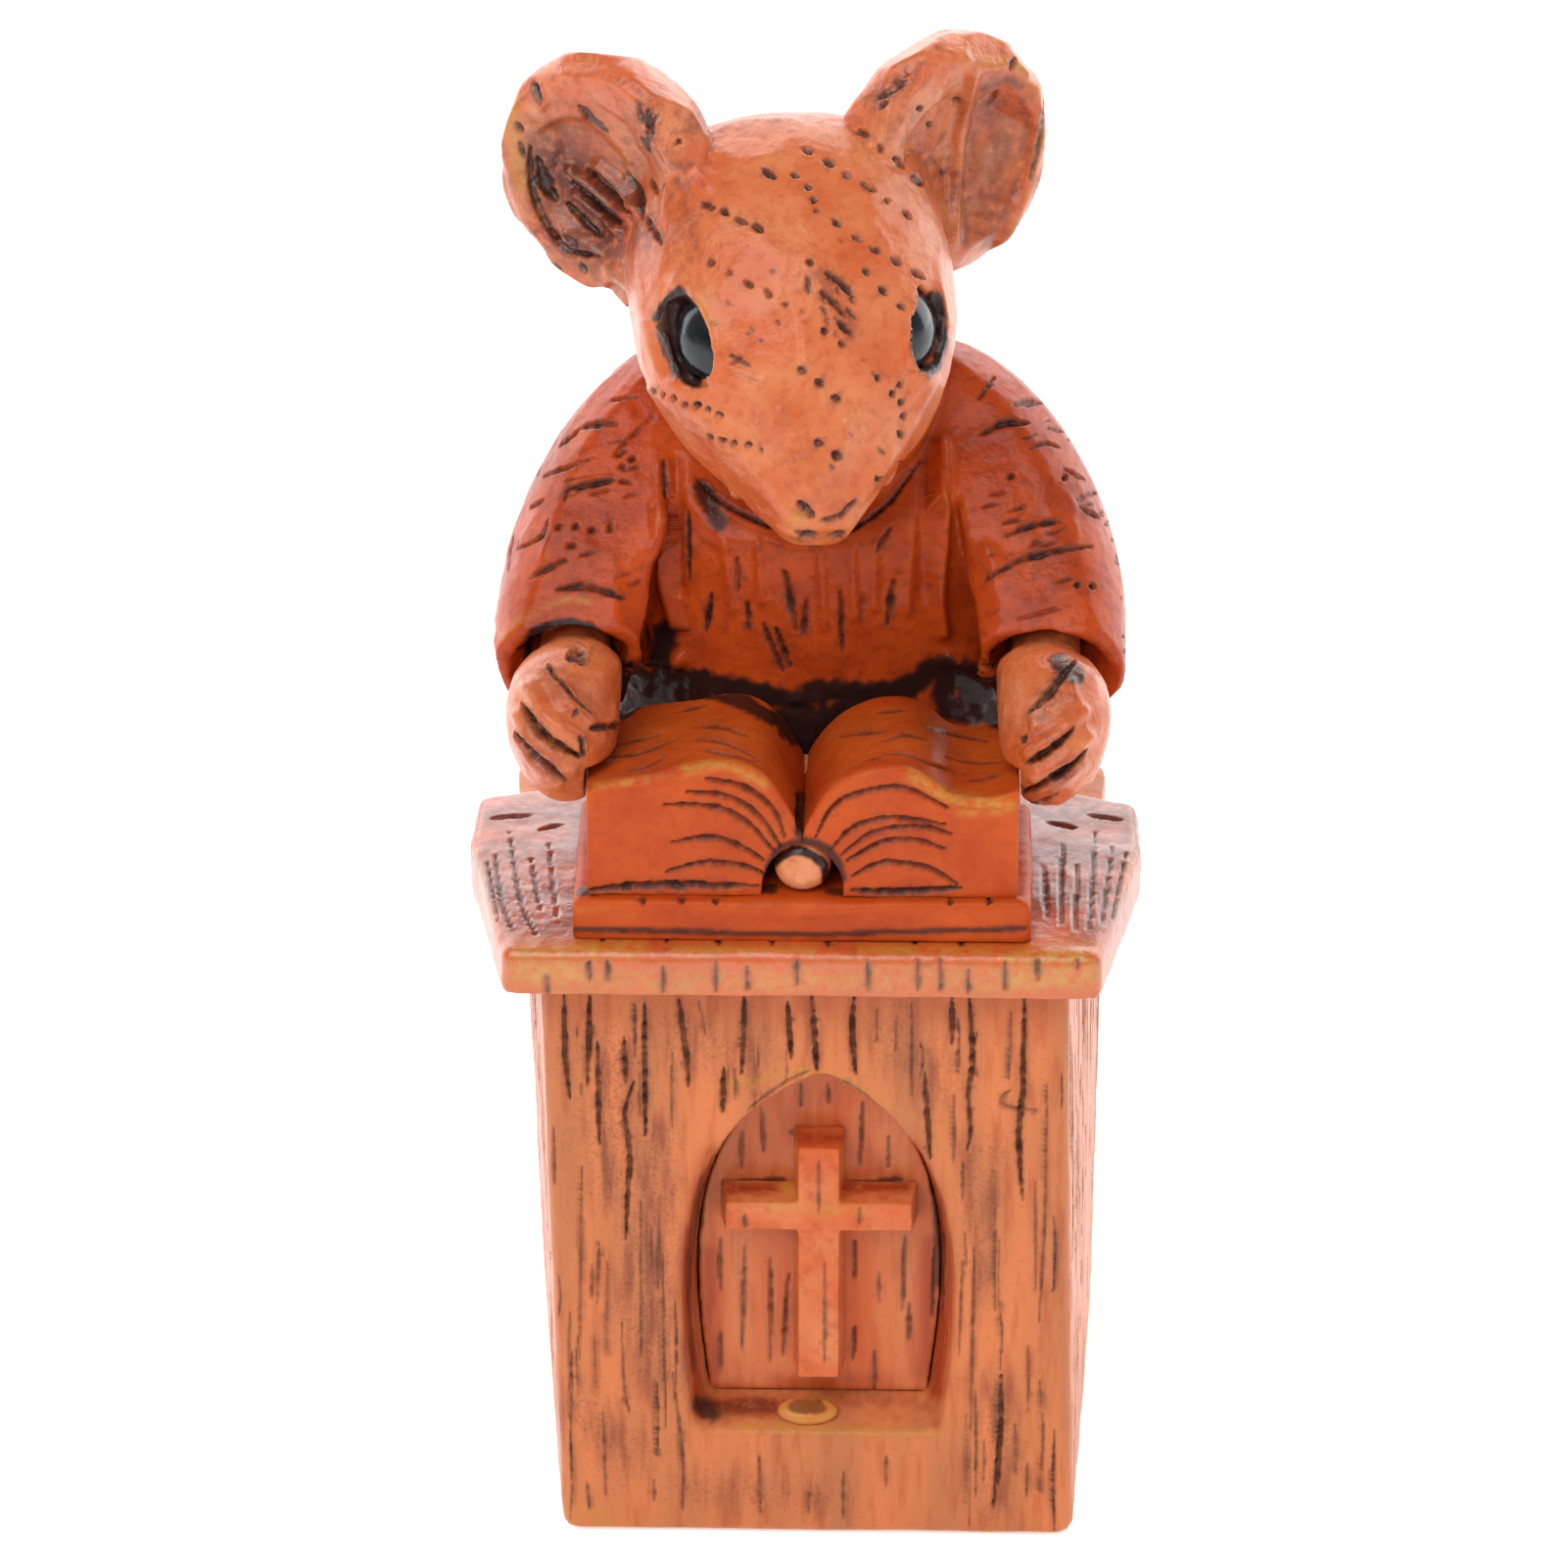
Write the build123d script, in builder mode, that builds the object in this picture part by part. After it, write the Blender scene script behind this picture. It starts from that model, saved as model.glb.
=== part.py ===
from build123d import *
import math
import os

# Shelf ornament: a mouse in a gown reads from a book on a small pulpit.
# Millimetres. X is the viewer's right, Y goes away from the viewer, Z is up.
# The origin is the middle of the underside.

# fits, and how far a cutting shape reaches past what it cuts
glue_gap = 0.1
socket_end = 0.3
cut_margin = 1.0

# pulpit body
body_front_y = -15.0
body_rear_y = 20.5
body_height = 47.0
foot_front_half = 18.9
foot_rear_half = 21.3
foot_rear_shift = -0.6
top_front_half = 18.95
top_rear_half = 22.4
top_shift = -1.1
body_rear_round = 2.4
body_front_round = 1.2
body_foot_round = 0.8

# niche in the front of the body
niche_half = 9.5
niche_foot_half = 9.1
niche_sill_z = 8.7
niche_spring_z = 26.8
niche_apex_z = 39.1
niche_shoulder_half = 8.3
niche_shoulder_z = 30.8
niche_arc_half = 6.0
niche_arc_z = 34.6
niche_depth = 3.6
niche_splay = 1.0
sill_rise = 1.6

# plaque in the back of the niche
panel_thickness = 2.0

# cross on the plaque
cross_width = 2.95
cross_foot_z = 13.1
cross_top_z = 32.4
arm_half = 6.8
arm_low_z = 25.6
arm_high_z = 27.8
cross_height = 2.8
cross_draft = 9.0
cross_peg_radius = 0.7
cross_peg_length = 1.4
cross_peg_low_z = 16.5
cross_peg_high_z = 30.5

# mound under the cross
mound_x = -0.8
mound_half_width = 2.3
mound_half_depth = 1.2
mound_height = 0.8
mound_round = 0.6

# board
board_shift = -1.2
board_thickness = 4.2
board_top_z = body_height + board_thickness
board_front_y = -18.0
board_front_half = 21.3
board_wide_half = 24.5
board_wide_y = -1.5
board_back_half = 24.2
board_back_y = 5.0
board_rear_half = 17.4
board_rear_y = 7.6
board_front_drop = 0.8
board_crease_y = -3.5
board_round = 1.0
board_rim_round = 0.8
board_peg_radius = 2.0
board_peg_length = 4.0
board_peg_x = 9.0
board_peg_y = -5.0

# book
book_x = -1.2
cover_half = 16.4
cover_front_y = -16.2
cover_back_y = 0.2
cover_thickness = 2.5
cover_top_z = board_top_z + cover_thickness
cover_round = 0.6
page_front_y = -15.3
page_depth = 14.6
page_fall = 0.09
gutter_height = 5.2
gutter_z = cover_top_z + gutter_height
arch_half = 2.85
arch_height = 4.2
arch_top_z = cover_top_z + arch_height
arch_side_x = 2.3
arch_side_height = 2.6
arch_side_z = cover_top_z + arch_side_height
spine_radius = 2.05
spine_dome = 1.4
# page curves, from the outer edge to the gutter: sideways and above the cover
left_page_rows = [
    (-15.4, 8.3),
    (-11.2, 9.3),
    (-7.7, 9.9),
    (-5.2, 10.4),
    (-3.1, 9.8),
    (-1.5, 8.0),
]
right_page_rows = [
    (15.4, 8.7),
    (12.5, 7.9),
    (10.4, 8.2),
    (9.0, 9.4),
    (7.2, 10.2),
    (4.9, 10.0),
    (2.6, 8.8),
    (1.0, 7.0),
]

page_half = right_page_rows[0][0]
left_page_curve = [(row_x, cover_top_z + row_z) for row_x, row_z in left_page_rows]
right_page_curve = [(row_x, cover_top_z + row_z) for row_x, row_z in right_page_rows]

# neck and collar
mouse_x = -0.9
neck_tilt = 45.0
neck_y = 8.0
neck_height = 39.0
neck_z = body_height + neck_height
collar_thickness = 3.0
collar_half = 9.6
collar_length = 11.2
collar_round = 1.2
dowel_radius = 1.5
dowel_length = 15.0

# gown: height above the deck, half width, half depth and middle of each station
robe_foot_z = body_height
robe_rows = [
    (0.0, 15.0, 9.0, 10.6),
    (9.0, 15.6, 9.5, 10.2),
    (19.0, 15.8, 9.8, 10.0),
    (neck_height - 11.0, 15.0, 9.7, 10.2),
    (neck_height - 4.0, 13.0, 8.6, 11.0),
    (neck_height + 2.0, 9.6, 6.6, 12.2),
]
robe_peg_radius = 3.0
robe_peg_length = 4.0
robe_peg_y = 13.0
chest_half = 9.7
chest_back_y = 3.2
chest_reach = 40.0

# sleeves: centre above the deck, direction and half sizes of each station
shoulder_cut_top_x = 9.0
shoulder_cut_drop = 2.0
shoulder_cut_top_z = neck_z - shoulder_cut_drop
shoulder_cut_foot_x = 15.4
shoulder_cut_foot = 5.0
shoulder_cut_foot_z = body_height + shoulder_cut_foot
sleeve_rows = [
    ((6.6, 12.0, neck_height - 6.4), (0.84, -0.10, -0.53), 5.8, 7.4),
    ((11.4, 11.0, neck_height - 10.0), (0.62, -0.28, -0.73), 6.6, 8.8),
    ((14.4, 7.8, neck_height - 14.4), (0.34, -0.55, -0.76), 7.0, 8.6),
    ((16.2, 2.8, 20.8), (0.10, -0.80, -0.60), 6.6, 7.0),
    ((17.0, -3.0, 18.6), (0.00, -0.94, -0.34), 5.8, 5.2),
]
cuff_wall = 1.1
cuff_depth = 3.6
sleeve_peg_radius = 1.8
sleeve_peg_length = 4.0
sleeve_peg_y = 9.5
sleeve_peg_drop = 12.0
sleeve_peg_z = neck_z - sleeve_peg_drop

# paws: centre above the deck and half sizes of each station, from the wrist to the finger tips
wrist_radius = 2.5
wrist_length = 7.4
wrist_set = 1.1
fist_pitch = 37.0
fist_rows = [
    ((17.0, -4.3, 19.4), 3.5, 3.6),
    ((17.5, -6.6, 18.6), 4.0, 4.4),
    ((17.6, -9.0, 16.9), 4.0, 4.7),
    ((17.4, -11.0, 15.2), 3.4, 4.0),
    ((17.2, -12.2, 14.2), 2.4, 2.9),
    ((17.1, -12.8, 13.7), 1.0, 1.3),
]
paw_gap = 0.15
page_edge_height = 9.2
page_edge_z = cover_top_z + page_edge_height
book_room_height = 13.4

# head
head_x = -2.06
head_y = 2.0
head_rise = 4.7
head_z = neck_z + head_rise
head_yaw = 10.0
head_pitch = 45.0
head_rows = [
    (-15.2, 4.6, 3.2, -0.3),
    (-13.8, 8.2, 5.8, -0.3),
    (-10.8, 10.4, 8.3, -0.3),
    (-6.0, 11.4, 9.7, -0.2),
    (-0.5, 11.6, 10.0, -0.1),
    (4.5, 10.6, 9.0, -0.2),
    (8.7, 8.3, 7.2, -0.4),
    (12.4, 5.0, 4.8, -0.5),
    (14.6, 3.4, 3.3, -0.4),
    (16.2, 1.7, 1.6, -0.3),
]

# eyes: oval beads with a domed face, each sunk in an oval hollow
eye_half_width = 2.1
eye_half_length = 2.9
eye_dome = 0.7
eye_ball = 4.6
eye_seat = 1.6
eye_side = 8.55
eye_up = 5.8
eye_forward = 3.05
left_eye_lean = 33.0
right_eye_lean = 40.0
eye_tip = 14.0
eye_sink = 0.9
hollow_rim = 0.5
hollow_reach = 4.0

# ears
ear_side = 12.0
ear_back = 8.0
ear_up = 9.2
ear_radius = 9.0
ear_thickness = 4.6
ear_round = 1.9
left_ear_turn = 43.0
right_ear_turn = 31.0
bowl_radius = 6.4
bowl_depth = 2.9
# ear roots: way from the ear towards the skull, half thickness and half height of each station
root_rows = [
    (1.0, 1.8, 5.6),
    (4.0, 2.1, 6.4),
    (7.0, 3.0, 7.0),
    (9.5, 4.2, 7.4),
]
ear_peg_radius = 1.2
ear_peg_set = 1.8
ear_peg_start = 1.0
ear_peg_length = 9.5
ear_peg_aim_back = 1.0
ear_peg_aim_up = 2.0

os.makedirs("parts", exist_ok=True)

# pulpit body, before its pockets
with BuildPart() as body_form:
    with BuildSketch(Plane.XY):
        Polygon(
            (-foot_front_half, body_front_y),
            (foot_front_half, body_front_y),
            (foot_rear_shift + foot_rear_half, body_rear_y),
            (foot_rear_shift - foot_rear_half, body_rear_y),
            align=None,
        )
    with BuildSketch(Plane.XY.offset(body_height)):
        Polygon(
            (top_shift - top_front_half, body_front_y),
            (top_shift + top_front_half, body_front_y),
            (top_shift + top_rear_half, body_rear_y),
            (top_shift - top_rear_half, body_rear_y),
            align=None,
        )
    loft(ruled=True)
    upright_edges = body_form.edges().filter_by(lambda e: abs(e.tangent_at(0.5).Z) > 0.9)
    rear_edges = upright_edges.group_by(Axis.Y)[-1]
    front_edges = upright_edges.group_by(Axis.Y)[0]
    fillet(rear_edges, body_rear_round)
    fillet(front_edges, body_front_round)
    foot_edges = body_form.faces().sort_by(Axis.Z)[0].edges()
    fillet(foot_edges, body_foot_round)

front_plane = Plane(origin=(0, body_front_y, 0), x_dir=(1, 0, 0), z_dir=(0, -1, 0))
niche_back_plane = front_plane.offset(-niche_depth)
back_foot_half = niche_foot_half - niche_splay
back_half = niche_half - niche_splay
back_sill_z = niche_sill_z + sill_rise
back_shoulder_half = niche_shoulder_half - niche_splay
back_arc_half = niche_arc_half - niche_splay
back_apex_z = niche_apex_z - niche_splay

# outlines of the niche at the front and at its back
with BuildSketch(front_plane) as front_outline:
    with BuildLine():
        Line((-niche_foot_half, niche_sill_z), (niche_foot_half, niche_sill_z))
        Spline(
            (niche_foot_half, niche_sill_z),
            (niche_half, niche_spring_z),
            (niche_shoulder_half, niche_shoulder_z),
            (niche_arc_half, niche_arc_z),
            (0, niche_apex_z),
        )
        Spline(
            (0, niche_apex_z),
            (-niche_arc_half, niche_arc_z),
            (-niche_shoulder_half, niche_shoulder_z),
            (-niche_half, niche_spring_z),
            (-niche_foot_half, niche_sill_z),
        )
    make_face()
with BuildSketch(niche_back_plane) as back_outline:
    with BuildLine():
        Line((-back_foot_half, back_sill_z), (back_foot_half, back_sill_z))
        Spline(
            (back_foot_half, back_sill_z),
            (back_half, niche_spring_z),
            (back_shoulder_half, niche_shoulder_z),
            (back_arc_half, niche_arc_z),
            (0, back_apex_z),
        )
        Spline(
            (0, back_apex_z),
            (-back_arc_half, niche_arc_z),
            (-back_shoulder_half, niche_shoulder_z),
            (-back_half, niche_spring_z),
            (-back_foot_half, back_sill_z),
        )
    make_face()

# splayed niche
with BuildPart() as niche_form:
    loft(sections=[front_outline.sketch.face(), back_outline.sketch.face()], ruled=True)

# pocket for the plaque behind the niche
with BuildPart() as panel_pocket:
    extrude(back_outline.sketch, amount=-panel_thickness)

# plaque set into the back of the niche
with BuildPart() as niche_panel:
    with BuildSketch(niche_back_plane):
        with BuildLine():
            Line(
                (glue_gap - back_foot_half, back_sill_z + glue_gap),
                (back_foot_half - glue_gap, back_sill_z + glue_gap),
            )
            Spline(
                (back_foot_half - glue_gap, back_sill_z + glue_gap),
                (back_half - glue_gap, niche_spring_z),
                (back_shoulder_half - glue_gap, niche_shoulder_z),
                (back_arc_half - glue_gap, niche_arc_z),
                (0, back_apex_z - glue_gap),
            )
            Spline(
                (0, back_apex_z - glue_gap),
                (glue_gap - back_arc_half, niche_arc_z),
                (glue_gap - back_shoulder_half, niche_shoulder_z),
                (glue_gap - back_half, niche_spring_z),
                (glue_gap - back_foot_half, back_sill_z + glue_gap),
            )
        make_face()
    extrude(amount=-panel_thickness)
    with BuildSketch(niche_back_plane):
        with Locations((0, cross_peg_low_z), (0, cross_peg_high_z)):
            Circle(cross_peg_radius + glue_gap)
    extrude(amount=-cross_peg_length - socket_end, mode=Mode.SUBTRACT)
niche_panel.part.label = "niche_panel"

# cross
with BuildPart() as niche_cross:
    with BuildSketch(niche_back_plane):
        with Locations((0, (cross_foot_z + cross_top_z) / 2)):
            Rectangle(cross_width, cross_top_z - cross_foot_z)
        with Locations((0, (arm_low_z + arm_high_z) / 2)):
            Rectangle(2 * arm_half, arm_high_z - arm_low_z)
        offset(amount=cross_height * math.tan(math.radians(cross_draft)), kind=Kind.INTERSECTION)
    extrude(amount=cross_height, taper=cross_draft)
    with BuildSketch(niche_back_plane):
        with Locations((0, cross_peg_low_z), (0, cross_peg_high_z)):
            Circle(cross_peg_radius)
    extrude(amount=-cross_peg_length)
niche_cross.part.label = "niche_cross"

# mound on the sloped sill
sill_plane = Plane(
    origin=(mound_x, body_front_y + niche_depth / 2, niche_sill_z + sill_rise / 2),
    x_dir=(1, 0, 0),
    z_dir=(0, -sill_rise, niche_depth),
)
with BuildPart() as cross_mound:
    with BuildSketch(sill_plane):
        Ellipse(mound_half_width, mound_half_depth)
    extrude(amount=mound_height)
    fillet(cross_mound.faces().sort_by(Axis.Z)[-1].edges(), mound_round)
cross_mound.part.label = "cross_mound"

# pegs under the board and under the gown
with BuildPart() as board_pegs:
    with BuildSketch(Plane.XY.offset(body_height)):
        with Locations(
            (board_shift - board_peg_x, board_peg_y),
            (board_shift + board_peg_x, board_peg_y),
        ):
            Circle(board_peg_radius)
    extrude(amount=-board_peg_length)
with BuildPart() as robe_peg:
    with BuildSketch(Plane.XY.offset(robe_foot_z)):
        with Locations((mouse_x, robe_peg_y)):
            Circle(robe_peg_radius)
    extrude(amount=-robe_peg_length)

# pulpit body with niche, plaque pocket and peg sockets
with BuildPart() as pulpit_body:
    add(body_form.part)
    add(niche_form.part, mode=Mode.SUBTRACT)
    add(panel_pocket.part, mode=Mode.SUBTRACT)
    with BuildSketch(Plane.XY.offset(body_height)):
        with Locations(
            (board_shift - board_peg_x, board_peg_y),
            (board_shift + board_peg_x, board_peg_y),
        ):
            Circle(board_peg_radius + glue_gap)
    extrude(amount=-board_peg_length - socket_end, mode=Mode.SUBTRACT)
    with BuildSketch(Plane.XY.offset(body_height)):
        with Locations((mouse_x, robe_peg_y)):
            Circle(robe_peg_radius + glue_gap)
    extrude(amount=-robe_peg_length - socket_end, mode=Mode.SUBTRACT)
pulpit_body.part.label = "pulpit_body"

# board with sloped front
with BuildPart() as desk_board:
    with BuildSketch(Plane.XY.offset(body_height)):
        with Locations((board_shift, 0)):
            Polygon(
                (-board_front_half, board_front_y),
                (board_front_half, board_front_y),
                (board_wide_half, board_wide_y),
                (board_back_half, board_back_y),
                (board_rear_half, board_rear_y),
                (-board_rear_half, board_rear_y),
                (-board_back_half, board_back_y),
                (-board_wide_half, board_wide_y),
                align=None,
            )
    extrude(amount=board_top_z - body_height)
    with BuildSketch(Plane.YZ.offset(board_shift - board_wide_half - cut_margin)):
        Polygon(
            (board_crease_y, board_top_z),
            (board_front_y - cut_margin, board_top_z),
            (board_front_y - cut_margin, board_top_z - board_front_drop),
            (board_front_y, board_top_z - board_front_drop),
            align=None,
        )
    extrude(amount=2 * (board_wide_half + cut_margin), mode=Mode.SUBTRACT)
    fillet(desk_board.edges().filter_by(Axis.Z), board_round)
    rim_edges = desk_board.edges().filter_by(lambda e: e.center().Z > body_height + board_thickness / 2)
    rim_edges = rim_edges.filter_by(lambda e: abs(e.center().Y - board_crease_y) > glue_gap)
    fillet(rim_edges.filter_by(lambda e: abs(e.tangent_at(0.5).Z) < 0.5), board_rim_round)
    add(board_pegs.part)
desk_board.part.label = "desk_board"

# book cover, seated on the board
with BuildPart() as book_cover:
    with BuildSketch(Plane.XY.offset(board_top_z - board_thickness / 2)):
        with Locations((book_x, (cover_front_y + cover_back_y) / 2)):
            Rectangle(2 * cover_half, cover_back_y - cover_front_y)
    extrude(amount=cover_thickness + board_thickness / 2)
    fillet(book_cover.edges().filter_by(Axis.Z), cover_round)
    fillet(book_cover.faces().sort_by(Axis.Z)[-1].edges(), cover_round)
    add(desk_board.part, mode=Mode.SUBTRACT)
book_cover.part.label = "book_cover"

# room in the pages for the spine roll
spine_plane = Plane(
    origin=(book_x, page_front_y, cover_top_z + spine_radius),
    x_dir=(1, 0, 0),
    z_dir=(0, 1, 0),
)
with BuildPart() as spine_room:
    with BuildSketch(spine_plane):
        Circle(spine_radius + glue_gap)
    extrude(amount=page_depth + cut_margin)

page_plane = Plane(origin=(book_x, page_front_y, 0), x_dir=(1, 0, 0), z_dir=(0, -1, 0))
page_run = (0, 1, -page_fall)

# left half of the pages
with BuildPart() as left_pages:
    with BuildSketch(page_plane):
        with BuildLine():
            Line((-arch_half, cover_top_z), (-page_half, cover_top_z))
            Line((-page_half, cover_top_z), left_page_curve[0])
            Spline(*left_page_curve, (0, gutter_z))
            Line((0, gutter_z), (0, arch_top_z))
            ThreePointArc((0, arch_top_z), (-arch_side_x, arch_side_z), (-arch_half, cover_top_z))
        make_face()
    extrude(amount=page_depth, dir=page_run)
    split(bisect_by=Plane.XY.offset(cover_top_z), keep=Keep.TOP)
    add(spine_room.part, mode=Mode.SUBTRACT)
left_pages.part.label = "left_pages"

# right half of the pages
with BuildPart() as right_pages:
    with BuildSketch(page_plane):
        with BuildLine():
            Line((arch_half, cover_top_z), (page_half, cover_top_z))
            Line((page_half, cover_top_z), right_page_curve[0])
            Spline(*right_page_curve, (0, gutter_z))
            Line((0, gutter_z), (0, arch_top_z))
            ThreePointArc((0, arch_top_z), (arch_side_x, arch_side_z), (arch_half, cover_top_z))
        make_face()
    extrude(amount=page_depth, dir=page_run)
    split(bisect_by=Plane.XY.offset(cover_top_z), keep=Keep.TOP)
    add(spine_room.part, mode=Mode.SUBTRACT)
right_pages.part.label = "right_pages"

# spine roll lying on the cover
with BuildPart() as book_spine:
    with BuildSketch(spine_plane):
        Circle(spine_radius)
    extrude(amount=page_depth)
    fillet(book_spine.faces().sort_by(Axis.Y)[0].edges(), spine_dome)
book_spine.part.label = "book_spine"

# neck planes, tilted so that the front is low
tilt_sin = math.sin(math.radians(neck_tilt))
tilt_cos = math.cos(math.radians(neck_tilt))
head_seat = Plane(origin=(mouse_x, neck_y, neck_z), x_dir=(1, 0, 0), z_dir=(0, -tilt_sin, tilt_cos))
robe_seat = head_seat.offset(-collar_thickness)
dowel_foot = head_seat.offset(-(dowel_length + collar_thickness) / 2)

# sides of the gown where the sleeves sit
cut_run = shoulder_cut_foot_x - shoulder_cut_top_x
cut_rise = shoulder_cut_top_z - shoulder_cut_foot_z
left_cut = Plane(
    origin=(mouse_x - shoulder_cut_top_x, 0, shoulder_cut_top_z),
    x_dir=(0, 1, 0),
    z_dir=(-cut_rise, 0, cut_run),
)
right_cut = Plane(
    origin=(mouse_x + shoulder_cut_top_x, 0, shoulder_cut_top_z),
    x_dir=(0, 1, 0),
    z_dir=(cut_rise, 0, cut_run),
)
peg_drop = (shoulder_cut_top_z - sleeve_peg_z) * cut_run / cut_rise
peg_seat_x = shoulder_cut_top_x + peg_drop
left_peg_plane = Plane(
    origin=(mouse_x - peg_seat_x, sleeve_peg_y, sleeve_peg_z), x_dir=(0, 1, 0), z_dir=left_cut.z_dir
)
right_peg_plane = Plane(
    origin=(mouse_x + peg_seat_x, sleeve_peg_y, sleeve_peg_z), x_dir=(0, 1, 0), z_dir=right_cut.z_dir
)

# gown body before it is parted
with BuildPart() as robe_form:
    for robe_z, robe_half, robe_deep, robe_y in robe_rows:
        with BuildSketch(Plane.XY.offset(robe_foot_z + robe_z)):
            with Locations((mouse_x, robe_y)):
                Ellipse(robe_half, robe_deep)
    loft()
    split(bisect_by=robe_seat, keep=Keep.BOTTOM)
    split(bisect_by=left_cut, keep=Keep.BOTTOM)
    split(bisect_by=right_cut, keep=Keep.BOTTOM)
    add(desk_board.part, mode=Mode.SUBTRACT)
    add(book_cover.part, mode=Mode.SUBTRACT)

# room for the chest piece
with BuildPart() as chest_room:
    with BuildSketch(Plane.XY.offset(board_top_z)):
        with Locations((mouse_x, chest_back_y)):
            Rectangle(2 * chest_half, chest_reach, align=(Align.CENTER, Align.MAX))
    extrude(amount=neck_z)

# gathered chest piece
with BuildPart() as robe_front:
    add(robe_form.part)
    add(chest_room.part, mode=Mode.INTERSECT)
robe_front.part.label = "robe_front"

# pin through the neck
with BuildPart() as neck_dowel:
    with BuildSketch(dowel_foot):
        Circle(dowel_radius)
    extrude(amount=dowel_length)
neck_dowel.part.label = "neck_dowel"

# bore for the pin
with BuildPart() as dowel_bore:
    with BuildSketch(dowel_foot.offset(-socket_end)):
        Circle(dowel_radius + glue_gap)
    extrude(amount=dowel_length + 2 * socket_end)

# gown body
with BuildPart() as robe:
    add(robe_form.part)
    add(chest_room.part, mode=Mode.SUBTRACT)
    add(dowel_bore.part, mode=Mode.SUBTRACT)
    with BuildSketch(left_peg_plane):
        Circle(sleeve_peg_radius + glue_gap)
    extrude(amount=-sleeve_peg_length - socket_end, mode=Mode.SUBTRACT)
    with BuildSketch(right_peg_plane):
        Circle(sleeve_peg_radius + glue_gap)
    extrude(amount=-sleeve_peg_length - socket_end, mode=Mode.SUBTRACT)
    add(robe_peg.part)
robe.part.label = "robe"

# collar
with BuildPart() as collar:
    with BuildSketch(robe_seat):
        Ellipse(collar_half, collar_length)
    extrude(amount=collar_thickness)
    fillet(collar.edges().filter_by(GeomType.ELLIPSE), collar_round)
    add(dowel_bore.part, mode=Mode.SUBTRACT)
collar.part.label = "collar"

# head before its sockets
yaw_sin = math.sin(math.radians(head_yaw))
yaw_cos = math.cos(math.radians(head_yaw))
pitch_sin = math.sin(math.radians(head_pitch))
pitch_cos = math.cos(math.radians(head_pitch))
head_plane = Plane(
    origin=(head_x, head_y, head_z),
    x_dir=(yaw_cos, yaw_sin, 0),
    z_dir=(yaw_sin * pitch_cos, -yaw_cos * pitch_cos, -pitch_sin),
)
with BuildPart() as head_form:
    for row_z, row_side, row_up, row_shift in head_rows:
        with BuildSketch(head_plane.offset(row_z)):
            with Locations((0, row_shift)):
                Ellipse(row_side, row_up)
    loft()
    split(bisect_by=head_seat, keep=Keep.TOP)

# eyes look sideways from the head and a little ahead
tip_sin = math.sin(math.radians(eye_tip))
tip_cos = math.cos(math.radians(eye_tip))
left_lean_sin = math.sin(math.radians(left_eye_lean))
left_lean_cos = math.cos(math.radians(left_eye_lean))
right_lean_sin = math.sin(math.radians(right_eye_lean))
right_lean_cos = math.cos(math.radians(right_eye_lean))
left_out = head_plane.y_dir * left_lean_sin - head_plane.x_dir * left_lean_cos
right_out = head_plane.y_dir * right_lean_sin + head_plane.x_dir * right_lean_cos
left_eye_plane = Plane(
    origin=head_plane.from_local_coords((-eye_side, eye_up, eye_forward)),
    x_dir=head_plane.y_dir * left_lean_cos + head_plane.x_dir * left_lean_sin,
    z_dir=left_out * tip_cos + head_plane.z_dir * tip_sin,
).offset(-eye_sink)
right_eye_plane = Plane(
    origin=head_plane.from_local_coords((eye_side, eye_up, eye_forward)),
    x_dir=head_plane.y_dir * right_lean_cos - head_plane.x_dir * right_lean_sin,
    z_dir=right_out * tip_cos + head_plane.z_dir * tip_sin,
).offset(-eye_sink)

with BuildPart() as left_eye:
    with BuildSketch(left_eye_plane.offset(-eye_seat)):
        Ellipse(eye_half_width, eye_half_length)
    extrude(amount=eye_seat + eye_dome)
    with Locations(left_eye_plane.from_local_coords((0, 0, eye_dome - eye_ball))):
        Sphere(eye_ball, mode=Mode.INTERSECT)
left_eye.part.label = "left_eye"

with BuildPart() as right_eye:
    with BuildSketch(right_eye_plane.offset(-eye_seat)):
        Ellipse(eye_half_width, eye_half_length)
    extrude(amount=eye_seat + eye_dome)
    with Locations(right_eye_plane.from_local_coords((0, 0, eye_dome - eye_ball))):
        Sphere(eye_ball, mode=Mode.INTERSECT)
right_eye.part.label = "right_eye"

# ears stand on the sides of the skull and turn outwards with the head
left_ear_at = (
    head_x - ear_side * yaw_cos - ear_back * yaw_sin,
    head_y - ear_side * yaw_sin + ear_back * yaw_cos,
    head_z + ear_up,
)
right_ear_at = (
    head_x + ear_side * yaw_cos - ear_back * yaw_sin,
    head_y + ear_side * yaw_sin + ear_back * yaw_cos,
    head_z + ear_up,
)
left_ear_angle = math.radians(head_yaw - left_ear_turn)
right_ear_angle = math.radians(head_yaw + right_ear_turn)
left_ear_plane = Plane(
    origin=left_ear_at,
    x_dir=(math.cos(left_ear_angle), math.sin(left_ear_angle), 0),
    z_dir=(math.sin(left_ear_angle), -math.cos(left_ear_angle), 0),
)
right_ear_plane = Plane(
    origin=right_ear_at,
    x_dir=(math.cos(right_ear_angle), math.sin(right_ear_angle), 0),
    z_dir=(math.sin(right_ear_angle), -math.cos(right_ear_angle), 0),
)
ear_aim = (head_x, head_y + ear_peg_aim_back, head_z + ear_peg_aim_up)
left_ear_peg_plane = Plane(
    origin=left_ear_plane.from_local_coords((0, 0, -ear_peg_set)),
    z_dir=(ear_aim[0] - left_ear_at[0], ear_aim[1] - left_ear_at[1], ear_aim[2] - left_ear_at[2]),
).offset(ear_peg_start)
right_ear_peg_plane = Plane(
    origin=right_ear_plane.from_local_coords((0, 0, -ear_peg_set)),
    z_dir=(ear_aim[0] - right_ear_at[0], ear_aim[1] - right_ear_at[1], ear_aim[2] - right_ear_at[2]),
).offset(ear_peg_start)
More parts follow.
